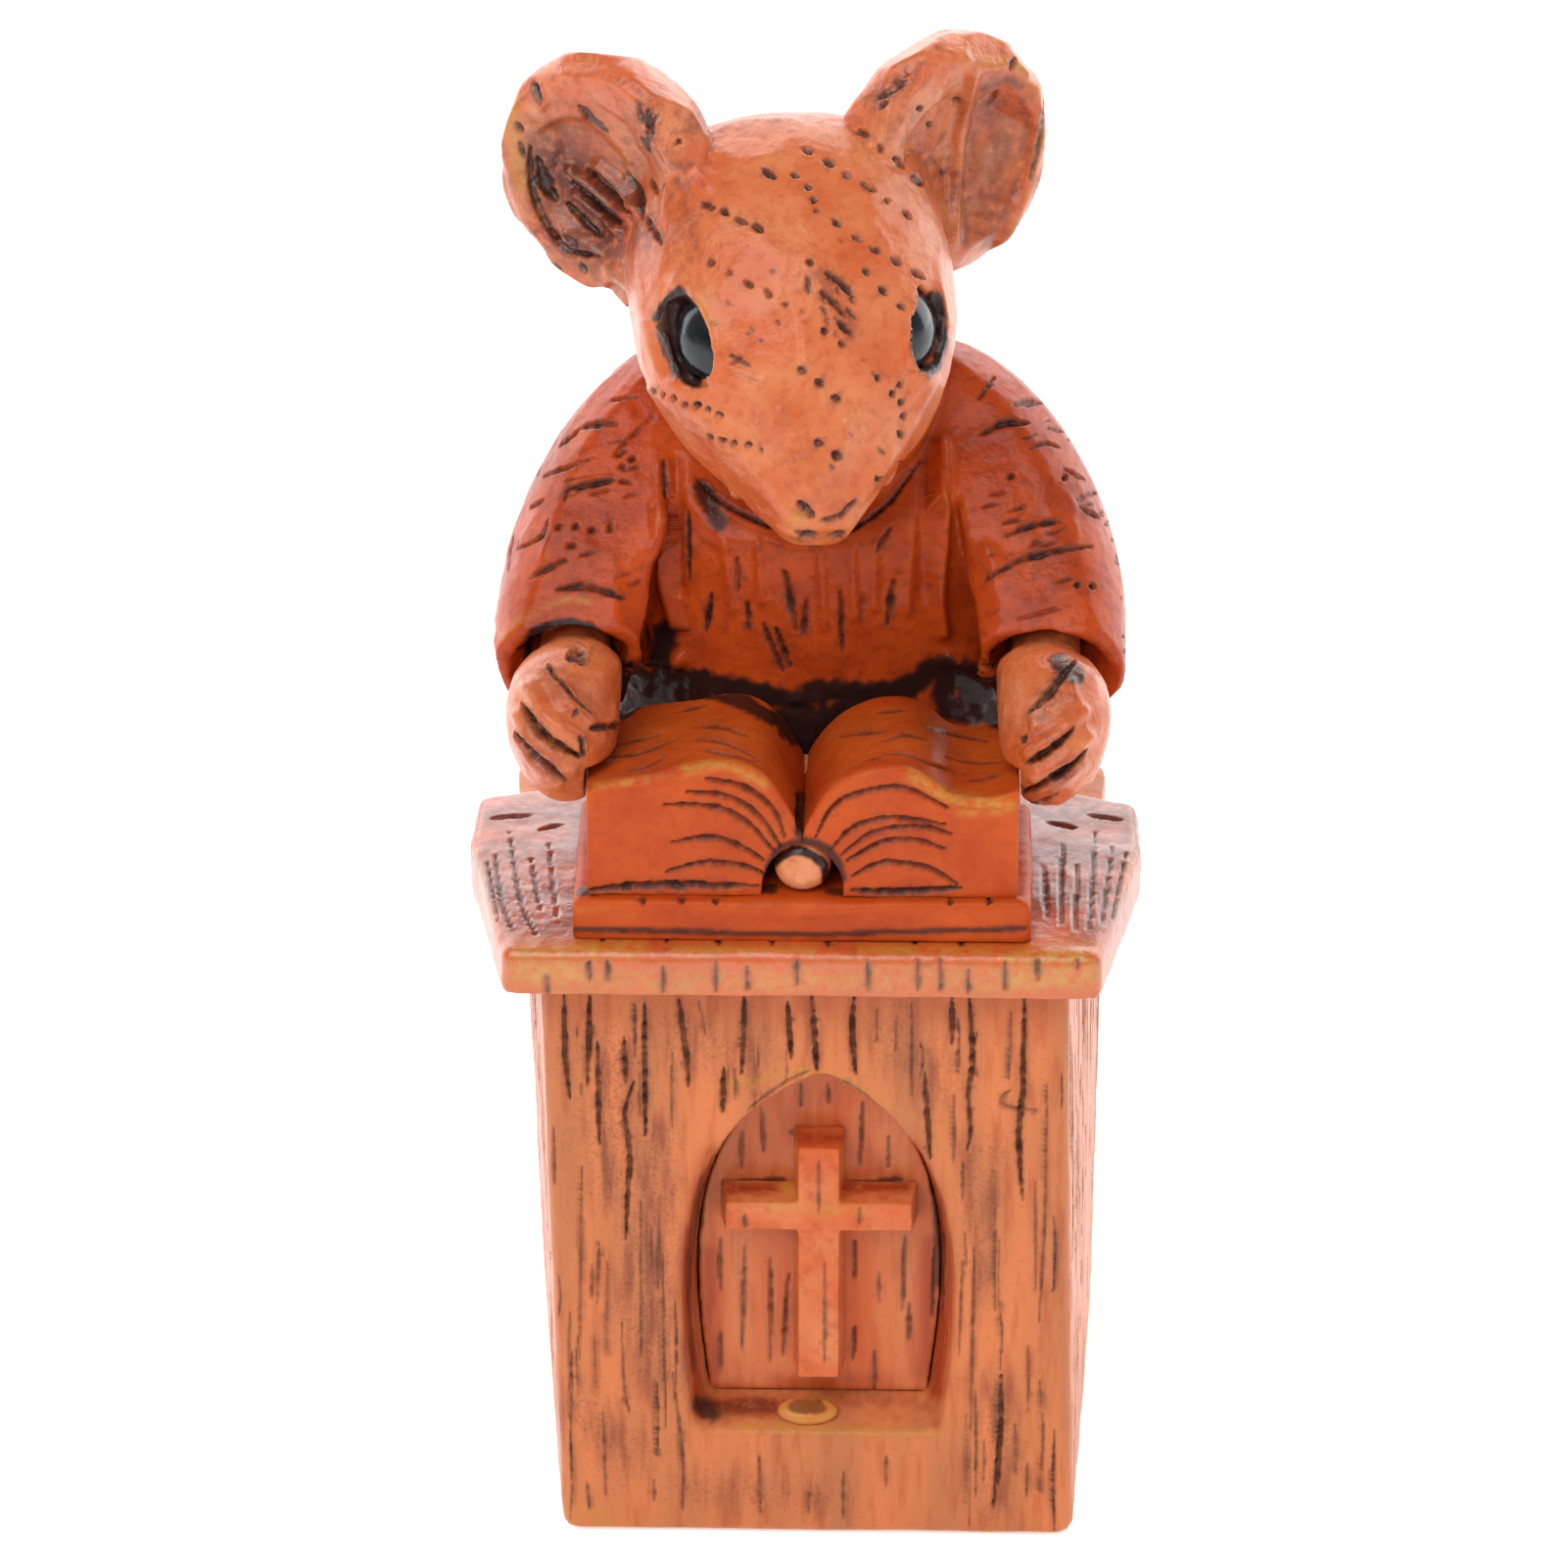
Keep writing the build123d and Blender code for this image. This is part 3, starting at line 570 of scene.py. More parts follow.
class Shape:
    """A mesh with the paint that carving leaves on it."""

    def __init__(self, mesh: bpy.types.Mesh) -> None:
        """Take over a mesh, whose points then move.

        Args:
            mesh: the mesh to carve.
        """
        self.mesh = mesh
        count = len(mesh.vertices)
        self.points = np.empty(count * 3)
        mesh.vertices.foreach_get("co", self.points)
        self.points = self.points.reshape(-1, 3)
        ends = np.empty(len(mesh.edges) * 2, dtype=np.int32)
        mesh.edges.foreach_get("vertices", ends)
        self.ends = ends.reshape(-1, 2)
        self.degree = np.maximum(np.bincount(self.ends.ravel(), minlength=count), 1)
        self.wash_and_shade = np.zeros(count)
        self.worn_and_sheen = np.zeros(count)
        self.deep = np.zeros(count)
        self.dust = np.zeros(count)
        self.refresh()

    def refresh(self) -> None:
        """Store the points in the mesh and work the normals out again."""
        self.mesh.vertices.foreach_set("co", self.points.ravel())
        self.mesh.update()
        flat = np.empty(len(self.points) * 3)
        self.mesh.vertex_normals.foreach_get("vector", flat)
        self.normals = flat.reshape(-1, 3)

    def around(self, values: np.ndarray) -> np.ndarray:
        """Average a value over each point's neighbours.

        Args:
            values: one number or one row for each point.

        Returns:
            The averages, in the same form.
        """
        first, second = self.ends[:, 0], self.ends[:, 1]
        count = len(self.points)
        if values.ndim == 1:
            total = np.bincount(first, values[second], count) + np.bincount(second, values[first], count)
            return total / self.degree
        return np.column_stack([self.around(values[:, column]) for column in range(values.shape[1])])

    def soften(self, passes: int, where: np.ndarray | None = None) -> None:
        """Round the shape off.

        Args:
            passes: how often each point moves halfway to its neighbours.
            where: share of the move for each point, all of it when left out.
        """
        for _ in range(passes):
            move = 0.5 * (self.around(self.points) - self.points)
            self.points += move if where is None else move * where[:, None]
        self.refresh()

    def push(self, amount: np.ndarray) -> None:
        """Move each point along its normal.

        Args:
            amount: distance in millimetres for each point.
        """
        self.points += self.normals * (amount * MM)[:, None]

    def hollows(self, passes: int) -> np.ndarray:
        """Measure how hollow the shape is.

        Args:
            passes: how widely the shape is averaged.

        Returns:
            Millimetres that each point lies below its surroundings.
        """
        wide = self.points.copy()
        for _ in range(passes):
            wide = 0.5 * (wide + self.around(wide))
        return np.sum((wide - self.points) * self.normals, axis=1) / MM

    def carve(self, view: Flat, marks: list[Mark], seed: int = 5) -> None:
        """Cut and paint marks.

        Args:
            view: the flat view that the marks are drawn in.
            marks: the marks.
            seed: number that picks the unevenness of the strokes.
        """
        grabs = [mark for mark in marks if mark.kind is MarkKind.GRAB]
        strokes = [mark for mark in marks if mark.kind is not MarkKind.GRAB]
        for mark in grabs:
            self.draw_aside(view, mark)
        flat = view.pixels(self.points)
        ragged = 0.7 * cast_noise(self.points, 0.5 * MM, seed)
        ragged += 0.5 * cast_noise(self.points, 0.24 * MM, seed + 1)
        lumps = cast_noise(self.points, 0.9 * MM, seed + 2)
        front = smoothstep(0.02, 0.16, view.facing(self.points, self.normals))
        lift = np.zeros(len(self.points))
        for mark in strokes:
            path = np.array(mark.path, dtype=float)
            reach = mark.wide * 3.5 + 2.0
            inside = np.all((flat > path.min(axis=0) - reach) & (flat < path.max(axis=0) + reach), axis=1)
            near = np.flatnonzero(inside & (front > 0.0))
            if len(near) == 0:
                continue
            if mark.kind is MarkKind.PLANE:
                weight = outline_depth(flat[near], path, mark.wide) * front[near] * mark.tone
                self.flatten(near, weight)
                continue
            away, along = self.stroke_distance(flat[near], curve(path))
            self.apply(mark, near, away, along, ragged[near], lumps[near], front[near], lift)
        self.push(lift)
        self.refresh()

    def draw_aside(self, view: Flat, mark: Mark) -> None:
        """Move the near side of the shape across the view.

        Args:
            view: the view that the mark is drawn in.
            mark: the mark with the move.
        """
        away, _ = self.stroke_distance(view.pixels(self.points), curve(np.array(mark.path, dtype=float)))
        near_side = smoothstep(-0.7, -0.3, view.facing(self.points, self.normals))
        share = near_side * np.exp(-((away / mark.wide) ** 2))
        self.points += share[:, None] * view.slide(mark.shift)
        self.refresh()

    def flatten(self, near: np.ndarray, weight: np.ndarray) -> None:
        """Move points towards the plane that fits them best.

        Args:
            near: numbers of the points.
            weight: share of the way that each one moves.
        """
        if weight.sum() < 1.0:
            return
        middle = np.average(self.points[near], axis=0, weights=weight)
        offset = self.points[near] - middle
        _, _, axes = np.linalg.svd((offset * weight[:, None]).T @ offset)
        height = offset @ axes[2]
        self.points[near] -= (height * weight)[:, None] * axes[2]

    def chisel(self, count: int, reach: float, tone: float, seed: int) -> None:
        """Plane the shape off in small flats, as a carver's knife does.

        Args:
            count: number of flats.
            reach: size of a flat in millimetres.
            tone: how flat the flats are.
            seed: number that picks their places.
        """
        dice = np.random.default_rng(seed)
        for number in dice.integers(0, len(self.points), count):
            size = reach * MM * dice.uniform(0.6, 1.4)
            away = np.linalg.norm(self.points - self.points[number], axis=1)
            alike = self.normals @ self.normals[number] > 0.6
            near = np.flatnonzero((away < size) & alike)
            self.flatten(near, tone * smoothstep(1.0, 0.6, away[near] / size))
        self.refresh()

    @staticmethod
    def stroke_distance(flat: np.ndarray, path: np.ndarray) -> tuple[np.ndarray, np.ndarray]:
        """Measure how far points lie from a path, and how far along it.

        Args:
            flat: pixels of the points.
            path: pixels of the path.

        Returns:
            Distances in pixels, and shares of the path's length.
        """
        best = np.full(len(flat), 1e9)
        along = np.zeros(len(flat))
        lengths = np.linalg.norm(np.diff(path, axis=0), axis=1)
        total = max(lengths.sum(), 1e-6)
        done = 0.0
        for start, end, length in zip(path[:-1], path[1:], lengths):
            run = end - start
            share = np.clip(((flat - start) @ run) / max(length * length, 1e-9), 0.0, 1.0)
            gap = np.linalg.norm(flat - start - share[:, None] * run, axis=1)
            closer = gap < best
            best = np.where(closer, gap, best)
            along = np.where(closer, (done + share * length) / total, along)
            done += length
        if len(path) == 1:
            best = np.linalg.norm(flat - path[0], axis=1)
            along[:] = 0.5
        return best, along

    def apply(
        self,
        mark: Mark,
        near: np.ndarray,
        away: np.ndarray,
        along: np.ndarray,
        ragged: np.ndarray,
        lumps: np.ndarray,
        front: np.ndarray,
        lift: np.ndarray,
    ) -> None:
        """Add one mark to the lift and the paint of the points near it.

        Args:
            mark: the mark.
            near: numbers of the points near it.
            away: their distances from its path in pixels.
            along: their shares of its length.
            ragged: uneven values between -1 and 1 there.
            lumps: broader uneven values there.
            front: how squarely the points face the view.
            lift: millimetres to push each point of the shape, added to in place.
        """
        if mark.kind is MarkKind.CUT:
            taper = 0.16 + 0.84 * np.sin(np.pi * np.clip(along, 0.0, 1.0)) ** 0.6
            half = 0.95 * mark.wide * taper * (1.0 + 0.45 * ragged)
            share = away / np.maximum(half, 0.3)
            bed = np.maximum(1.0 - share * share, 0.0)
            lip = np.exp(-(((share - 1.45) / 0.4) ** 2))
            lift[near] += front * mark.deep * (0.12 * lip - bed * (0.85 + 0.3 * ragged))
            faced = np.minimum(front * 1.5, 1.0)
            paint = smoothstep(1.15, 0.5, share) * mark.tone * faced * (0.85 + 0.4 * ragged)
            self.wash_and_shade[near] = np.maximum(self.wash_and_shade[near], paint)
            halo = 0.65 * mark.tone * front * smoothstep(3.0, 0.8, share + 0.5 * ragged)
            self.dust[near] = np.maximum(self.dust[near], halo)
            return
        soft = np.exp(-((away / mark.wide) ** 2) * 1.4)
        if mark.kind is MarkKind.RIDGE:
            lift[near] += front * mark.deep * soft
            self.worn_and_sheen[near] = np.maximum(self.worn_and_sheen[near], soft * mark.tone)
            return
        patch = smoothstep(1.25, 0.7, away / mark.wide + 0.35 * ragged) * mark.tone * front
        # Stain marks: dark paint, and painted shade in gaps, openings and arches.
        if mark.kind is MarkKind.STAIN_AND_SHADE:
            self.wash_and_shade[near] = np.maximum(self.wash_and_shade[near], patch)
            lift[near] += 0.09 * patch * lumps
        elif mark.kind is MarkKind.WORN_AND_SHEEN:
            # Worn marks: ochre wear, and a painted sheen on the page tops.
            faded = soft * front * mark.tone * (0.8 + 0.5 * ragged)
            self.worn_and_sheen[near] = np.maximum(self.worn_and_sheen[near], faded)
        elif mark.kind is MarkKind.DUST:
            self.dust[near] = np.maximum(self.dust[near], soft * mark.tone)
        else:
            # Shade marks: painted shade and deeper glaze.
            self.deep[near] = np.maximum(self.deep[near], soft * mark.tone)

    def paint(self) -> list[tuple[str, np.ndarray]]:
        """List the paints by the names that the glaze reads.

        Returns:
            Name and strength at each point.
        """
        return [("wash_and_shade", self.wash_and_shade), ("worn_and_sheen", self.worn_and_sheen), ("deep", self.deep), ("dust", self.dust)]

    def store_paint(self, mesh: bpy.types.Mesh, chosen: np.ndarray) -> None:
        """Write the paint of chosen points to a mesh.

        Args:
            mesh: mesh with one point for each chosen one.
            chosen: numbers of the points.
        """
        for name, values in self.paint():
            layer = mesh.attributes.new(name, "FLOAT", "POINT")
            layer.data.foreach_set("value", np.clip(values[chosen], 0.0, 1.0).astype(np.float32))


@dataclass(frozen=True)
class Glaze:
    """Tinted varnish over an ochre ground, with dark paint rubbed into the hollows, and painted shade and
    sheen where the marks put them.
    """

    slot: str
    light: Colour
    rich: Colour
    deep: Colour
    ochre: Colour = (0.46, 0.2, 0.03, 1.0)
    wash_and_shade: Colour = (0.024, 0.008, 0.006, 1.0)
    dust: Colour = (0.13, 0.035, 0.022, 1.0)
    streaks: float = 0.4
    mottle: float = 260.0
    grain: Place = (1.0, 1.0, 1.0)
    roughness: float = 0.5
    wash_roughness: float = 0.4
    specular: float = 0.12
    gloss: float = 0.45
    gloss_bend: float = 1.38
    gloss_roughness: float = 0.09
    bump: float = 0.35
    name: str = ""

    def material(self) -> bpy.types.Material:
        """Build the glaze, or give the one built before.

        Returns:
            The material, named for its own name or its slot.
        """
        name = "glaze_" + (self.name or self.slot)
        known = bpy.data.materials.get(name)
        if known is not None:
            return known
        material = bpy.data.materials.new(name)
        material.use_nodes = True
        nodes = NodeDesk(material.node_tree)
        place = nodes.add("ShaderNodeTexCoord").outputs["Object"]
        stretched = nodes.stretch(place, self.grain)
        broad = nodes.noise(stretched, self.mottle, 4.0)
        fine = nodes.noise(stretched, self.mottle * 5.0, 6.0)
        specks = nodes.noise(place, self.mottle * 16.0, 3.0)
        body = nodes.blend(nodes.steps(broad, 0.36, 0.66), self.light, self.rich)
        body = nodes.blend(nodes.scaled(nodes.steps(fine, 0.5, 0.72), self.streaks), body, self.deep)
        # Deep paint: painted shade and deeper glaze, from the shade marks and the broad hollows.
        deepened_and_shaded = nodes.multiply(nodes.attribute("deep"), nodes.steps(fine, 0.2, 0.5))
        body = nodes.blend(deepened_and_shaded, body, self.deep)
        # Worn paint: ochre wear on edges, and a painted sheen on the page tops.
        rubbed_and_sheen = nodes.multiply(nodes.attribute("worn_and_sheen"), nodes.steps(fine, 0.28, 0.52))
        body = nodes.blend(rubbed_and_sheen, body, self.ochre)
        smears = nodes.scaled(nodes.multiply(nodes.attribute("dust"), nodes.steps(fine, 0.34, 0.66)), 0.8)
        body = nodes.blend(smears, body, self.dust)
        dusty = nodes.multiply(nodes.attribute("dust"), nodes.steps(specks, 0.5, 0.62))
        body = nodes.blend(nodes.scaled(dusty, 0.45), body, self.dust)
        body = nodes.blend(nodes.scaled(nodes.steps(specks, 0.66, 0.74), 0.4), body, self.dust)
        # Wash paint: dark paint in grooves and stains, and painted shade in gaps, openings and arches.
        body = nodes.blend(nodes.attribute("wash_and_shade"), body, self.wash_and_shade)
        shader = nodes.shader()
        nodes.link(body, shader.inputs["Base Color"])
        rough = nodes.ramp_between(fine, self.roughness - 0.1, self.roughness + 0.16)
        rough = nodes.multiply_add(nodes.attribute("wash_and_shade"), self.wash_roughness - self.roughness, rough)
        nodes.link(rough, shader.inputs["Roughness"])
        shader.inputs["Coat Weight"].default_value = self.gloss
        shader.inputs["Coat Roughness"].default_value = self.gloss_roughness
        shader.inputs["Coat IOR"].default_value = self.gloss_bend
        shader.inputs["Specular IOR Level"].default_value = self.specular
        bent = nodes.bump(fine, specks, self.bump)
        nodes.link(bent, shader.inputs["Normal"])
        nodes.link(bent, shader.inputs["Coat Normal"])
        return material


@dataclass(frozen=True)
class Bead:
    """Blue-black enamel of the eyes."""

    slot: str = "eye_gloss"
    body: Colour = (0.004, 0.005, 0.007, 1.0)
    haze: Colour = (0.018, 0.022, 0.026, 1.0)

    def material(self) -> bpy.types.Material:
        """Build the enamel, or give the one built before.

        Returns:
            The material.
        """
        known = bpy.data.materials.get("enamel_" + self.slot)
        if known is not None:
            return known
        material = bpy.data.materials.new("enamel_" + self.slot)
        material.use_nodes = True
        nodes = NodeDesk(material.node_tree)
        place = nodes.add("ShaderNodeTexCoord").outputs["Object"]
        cloud = nodes.noise(place, 700.0, 4.0)
        shader = nodes.shader()
        colour = nodes.blend(nodes.steps(cloud, 0.4, 0.7), self.body, self.haze)
        nodes.link(colour, shader.inputs["Base Color"])
        nodes.link(nodes.ramp_between(cloud, 0.1, 0.3), shader.inputs["Roughness"])
        shader.inputs["Specular IOR Level"].default_value = 0.25
        shader.inputs["Coat Weight"].default_value = 0.3
        shader.inputs["Coat Roughness"].default_value = 0.06
        nodes.link(nodes.bump(cloud, cloud, 0.12), shader.inputs["Normal"])
        return material


class NodeDesk:
    """Short ways to lay out a material's nodes."""

    def __init__(self, tree: bpy.types.NodeTree) -> None:
        """Start with an empty tree that has only its output.

        Args:
            tree: node tree of the material.
        """
        self.tree = tree
        tree.nodes.clear()
        self.output = tree.nodes.new("ShaderNodeOutputMaterial")

    def add(self, kind: str) -> bpy.types.Node:
        """Add a node.

        Args:
            kind: Blender's name for the kind of node.

        Returns:
            The node.
        """
        return self.tree.nodes.new(kind)

    def link(self, source: Socket, target: Socket) -> None:
        """Join two sockets.

        Args:
            source: output socket.
            target: input socket.
        """
        self.tree.links.new(source, target)

    def shader(self) -> bpy.types.Node:
        """Add the surface shader and join it to the output.

        Returns:
            The shader node.
        """
        node = self.add("ShaderNodeBsdfPrincipled")
        self.link(node.outputs["BSDF"], self.output.inputs["Surface"])
        return node

    def stretch(self, place: Socket, factors: Place) -> Socket:
        """Scale coordinates along each axis.

        Args:
            place: coordinates.
            factors: one factor for each axis.

        Returns:
            The scaled coordinates.
        """
        node = self.add("ShaderNodeMapping")
        node.inputs["Scale"].default_value = factors
        self.link(place, node.inputs["Vector"])
        return node.outputs["Vector"]

    def noise(self, place: Socket, scale: float, detail: float) -> Socket:
        """Add a noise.

        Args:
            place: coordinates.
            scale: waves in a metre.
            detail: octaves of finer waves.

        Returns:
            The noise's value.
        """
        node = self.add("ShaderNodeTexNoise")
        node.inputs["Scale"].default_value = scale
        node.inputs["Detail"].default_value = detail
        self.link(place, node.inputs["Vector"])
        return node.outputs["Fac"]

    def attribute(self, name: str) -> Socket:
        """Read a paint stored on the points.

        Args:
            name: the paint's name.

        Returns:
            Its strength.
        """
        node = self.add("ShaderNodeAttribute")
        node.attribute_name = name
        return node.outputs["Fac"]

    def ramp_between(
        self, value: Socket, low: float, high: float, start: float = 0.0, end: float = 1.0
    ) -> Socket:
        """Map a value from start and end to low and high.

        Args:
            value: socket to map.
            low: result at start.
            high: result at end.
            start: value that gives low.
            end: value that gives high.

        Returns:
            The mapped socket.
        """
        node = self.add("ShaderNodeMapRange")
        self.link(value, node.inputs["Value"])
        node.inputs["From Min"].default_value = start
        node.inputs["From Max"].default_value = end
        node.inputs["To Min"].default_value = low
        node.inputs["To Max"].default_value = high
        return node.outputs["Result"]

    def steps(self, value: Socket, start: float, end: float) -> Socket:
        """Map a value to 0 at start and 1 at end.

        Args:
            value: socket to map.
            start: value that gives 0.
            end: value that gives 1.

        Returns:
            The mapped socket.
        """
        return self.ramp_between(value, 0.0, 1.0, start, end)

    def scaled(self, value: Socket, factor: float) -> Socket:
        """Multiply a value between 0 and 1 by a number.

        Args:
            value: socket to multiply.
            factor: the number.

        Returns:
            The product.
        """
        return self.ramp_between(value, 0.0, factor)

    def multiply(self, first: Socket, second: Socket) -> Socket:
        """Multiply two values.

        Args:
            first: one socket.
            second: the other socket.

        Returns:
            The product.
        """
        node = self.add("ShaderNodeMath")
        node.operation = "MULTIPLY"
        self.link(first, node.inputs[0])
        self.link(second, node.inputs[1])
        return node.outputs["Value"]

    def multiply_add(self, first: Socket, factor: float, rest: Socket) -> Socket:
        """Multiply a value by a number and add another value.

        Args:
            first: socket to multiply.
            factor: the number.
            rest: socket to add.

        Returns:
            The sum.
        """
        node = self.add("ShaderNodeMath")
        node.operation = "MULTIPLY_ADD"
        self.link(first, node.inputs[0])
        node.inputs[1].default_value = factor
        self.link(rest, node.inputs[2])
        return node.outputs["Value"]

    def blend(self, share: Socket, first: Socket | Colour, second: Socket | Colour) -> Socket:
        """Blend two colours, each a socket or a plain colour.

        Args:
            share: how much of the second shows.
            first: colour where share is 0.
            second: colour where share is 1.

        Returns:
            The blended colour.
        """
        node = self.add("ShaderNodeMix")
        node.data_type = "RGBA"
        self.link(share, node.inputs["Factor"])
        colours = [socket for socket in node.inputs if socket.type == "RGBA"]
        for socket, colour in zip(colours, (first, second)):
            if isinstance(colour, tuple):
                socket.default_value = colour
            else:
                self.link(colour, socket)
        return next(socket for socket in node.outputs if socket.type == "RGBA")

    def bump(self, wide: Socket, fine: Socket, strength: float) -> Socket:
        """Roughen the surface with two noises.

        Args:
            wide: height of the broad unevenness.
            fine: height of the fine unevenness.
            strength: how strongly both show.

        Returns:
            The bent normal.
        """
        first = self.add("ShaderNodeBump")
        first.inputs["Strength"].default_value = strength
        first.inputs["Distance"].default_value = 0.18 * MM
        self.link(wide, first.inputs["Height"])
        second = self.add("ShaderNodeBump")
        second.inputs["Strength"].default_value = strength
        second.inputs["Distance"].default_value = 0.05 * MM
        self.link(fine, second.inputs["Height"])
        self.link(first.outputs["Normal"], second.inputs["Normal"])
        return second.outputs["Normal"]


LIGHT_ORANGE = (0.55, 0.16, 0.055, 1.0)
RICH_ORANGE = (0.5, 0.085, 0.016, 1.0)
TAN = (0.42, 0.135, 0.05, 1.0)
RED_BROWN = (0.3, 0.036, 0.008, 1.0)
DARK_BROWN = (0.1, 0.016, 0.008, 1.0)
UPRIGHT_GRAIN = (1.0, 1.0, 0.16)

PULPIT_GLAZE = Glaze("pulpit_glaze", LIGHT_ORANGE, TAN, RED_BROWN, grain=UPRIGHT_GRAIN, gloss=0.25)
NICHE_GLAZE = Glaze("niche_glaze", LIGHT_ORANGE, RICH_ORANGE, RED_BROWN, grain=UPRIGHT_GRAIN, gloss=0.5)
CROSS_GLAZE = Glaze("cross_glaze", LIGHT_ORANGE, RICH_ORANGE, RED_BROWN)
BOARD_GLAZE = Glaze(
    "board_glaze",
    RICH_ORANGE,
    (0.46, 0.08, 0.016, 1.0),
    (0.2, 0.03, 0.01, 1.0),
    gloss=0.2,
    roughness=0.3,
    wash_roughness=0.7,
    specular=0.62,
)
BOOK_GLAZE = Glaze(
    "book_glaze",
    (0.46, 0.066, 0.006, 1.0),
    (0.38, 0.044, 0.004, 1.0),
    RED_BROWN,
    gloss=0.2,
    gloss_roughness=0.24,
)
# Paler copy of the book glaze for the spine roll: a painted highlight on its round end.
LIT_SPINE_GLAZE = Glaze(
    "book_glaze",
    (0.6, 0.24, 0.12, 1.0),
    LIGHT_ORANGE,
    RED_BROWN,
    gloss=0.6,
    name="lit_spine_glaze",
)
ROBE_GLAZE = Glaze(
    "robe_glaze",
    (0.45, 0.06, 0.006, 1.0),
    (0.33, 0.036, 0.005, 1.0),
    DARK_BROWN,
    gloss=0.3,
    gloss_bend=1.42,
    specular=0.08,
    wash_roughness=0.95,
)
FUR_GLAZE = Glaze(
    "fur_glaze",
    LIGHT_ORANGE,
    (0.5, 0.095, 0.022, 1.0),
    RED_BROWN,
    gloss=0.38,
    gloss_bend=1.45,
    gloss_roughness=0.16,
    specular=0.2,
    roughness=0.4,
    bump=0.5,
)
EAR_GLAZE = Glaze(
    "ear_glaze",
    LIGHT_ORANGE,
    RICH_ORANGE,
    DARK_BROWN,
    gloss_bend=1.45,
    gloss_roughness=0.16,
    specular=0.35,
    roughness=0.4,
    bump=0.5,
)
PIN_WOOD = Glaze(
    "pin_wood",
    (0.6, 0.42, 0.24, 1.0),
    (0.5, 0.33, 0.17, 1.0),
    (0.34, 0.2, 0.1, 1.0),
    gloss=0.0,
)
EYE_BEAD = Bead()


def node_mesh(names: tuple[str, ...], swell: float) -> bpy.types.Mesh:
    """Copy solids of the frame into one mesh.

    Args:
        names: the solids' node names.
        swell: millimetres by which each is swollen, so that neighbours run into each other.

    Returns:
        A new mesh.
    """
    joined = bmesh.new()
    for name in names:
        copy = bmesh.new()
        copy.from_mesh(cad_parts[name].data)
        bmesh.ops.remove_doubles(copy, verts=copy.verts, dist=1e-7)
        bmesh.ops.recalc_face_normals(copy, faces=copy.faces)
        copy.normal_update()
        for vertex in copy.verts:
            vertex.co += vertex.normal * swell * MM
        part = bpy.data.meshes.new("part")
        copy.to_mesh(part)
        copy.free()
        joined.from_mesh(part)
        bpy.data.meshes.remove(part)
    mesh = bpy.data.meshes.new("joined")
    joined.to_mesh(mesh)
    joined.free()
    return mesh


def voxel_skin(mesh: bpy.types.Mesh, voxel: float) -> bpy.types.Mesh:
    """Cover a mesh with an even skin of small squares.

    Args:
        mesh: closed mesh, used up.
        voxel: size of the squares in millimetres.

    Returns:
        The skin, without bubbles inside.
    """
    holder = bpy.data.objects.new("holder", mesh)
    bpy.context.scene.collection.objects.link(holder)
    remesh = holder.modifiers.new("remesh", "REMESH")
    remesh.mode = "VOXEL"
    remesh.voxel_size = voxel * MM
    evaluated = holder.evaluated_get(bpy.context.evaluated_depsgraph_get())
    skin = bpy.data.meshes.new_from_object(evaluated)
    bpy.data.objects.remove(holder)
    bpy.data.meshes.remove(mesh)
    return largest_shell(skin)


def largest_shell(mesh: bpy.types.Mesh) -> bpy.types.Mesh:
    """Keep only the shell with the most points.

    Args:
        mesh: mesh that may have several shells, used up.

    Returns:
        A mesh with one shell.
    """
    ends = np.empty(len(mesh.edges) * 2, dtype=np.int32)
    mesh.edges.foreach_get("vertices", ends)
    first, second = ends.reshape(-1, 2).T
    group = np.arange(len(mesh.vertices))
    while True:
        lower = np.minimum(group[first], group[second])
        joined = group.copy()
        np.minimum.at(joined, first, lower)
        np.minimum.at(joined, second, lower)
        joined = joined[joined]
        if np.array_equal(joined, group):
            break
        group = joined
    sizes = np.bincount(group)
    outer = int(np.argmax(sizes))
    if sizes[outer] == len(group):
        return mesh
    form = bmesh.new()
    form.from_mesh(mesh)
    form.verts.ensure_lookup_table()
    doomed = [form.verts[number] for number in np.flatnonzero(group != outer)]
    bmesh.ops.delete(form, geom=doomed, context="VERTS")
    form.to_mesh(mesh)
    form.free()
    return mesh


def refine(mesh: bpy.types.Mesh, view: Flat, marks: list[Mark], rounds: int) -> None:
    """Divide the squares that lie under marks.

    Args:
        mesh: mesh to divide, changed in place.
        view: flat view that the marks are drawn in.
        marks: the marks.
        rounds: how often each square is cut in four.
    """
    for _ in range(rounds):
        shape = Shape(mesh)
        flat = view.pixels(shape.points)
        front = view.facing(shape.points, shape.normals) > 0.0
        hit = np.zeros(len(flat), dtype=bool)
        for mark in marks:
            if mark.kind is not MarkKind.CUT:
                continue
            path = np.array(mark.path, dtype=float)
            reach = mark.wide * 1.5 + 3.0
            inside = np.all((flat > path.min(axis=0) - reach) & (flat < path.max(axis=0) + reach), axis=1)
            near = np.flatnonzero(inside & front)
            if len(near):
                away, _ = Shape.stroke_distance(flat[near], curve(path))
                hit[near[away < reach]] = True
        form = bmesh.new()
        form.from_mesh(mesh)
        form.verts.ensure_lookup_table()
        form.edges.ensure_lookup_table()
        chosen = [form.edges[number] for number in np.flatnonzero(hit[shape.ends].all(axis=1))]
        bmesh.ops.subdivide_edges(form, edges=chosen, cuts=1, use_grid_fill=True)
        form.to_mesh(mesh)
        form.free()


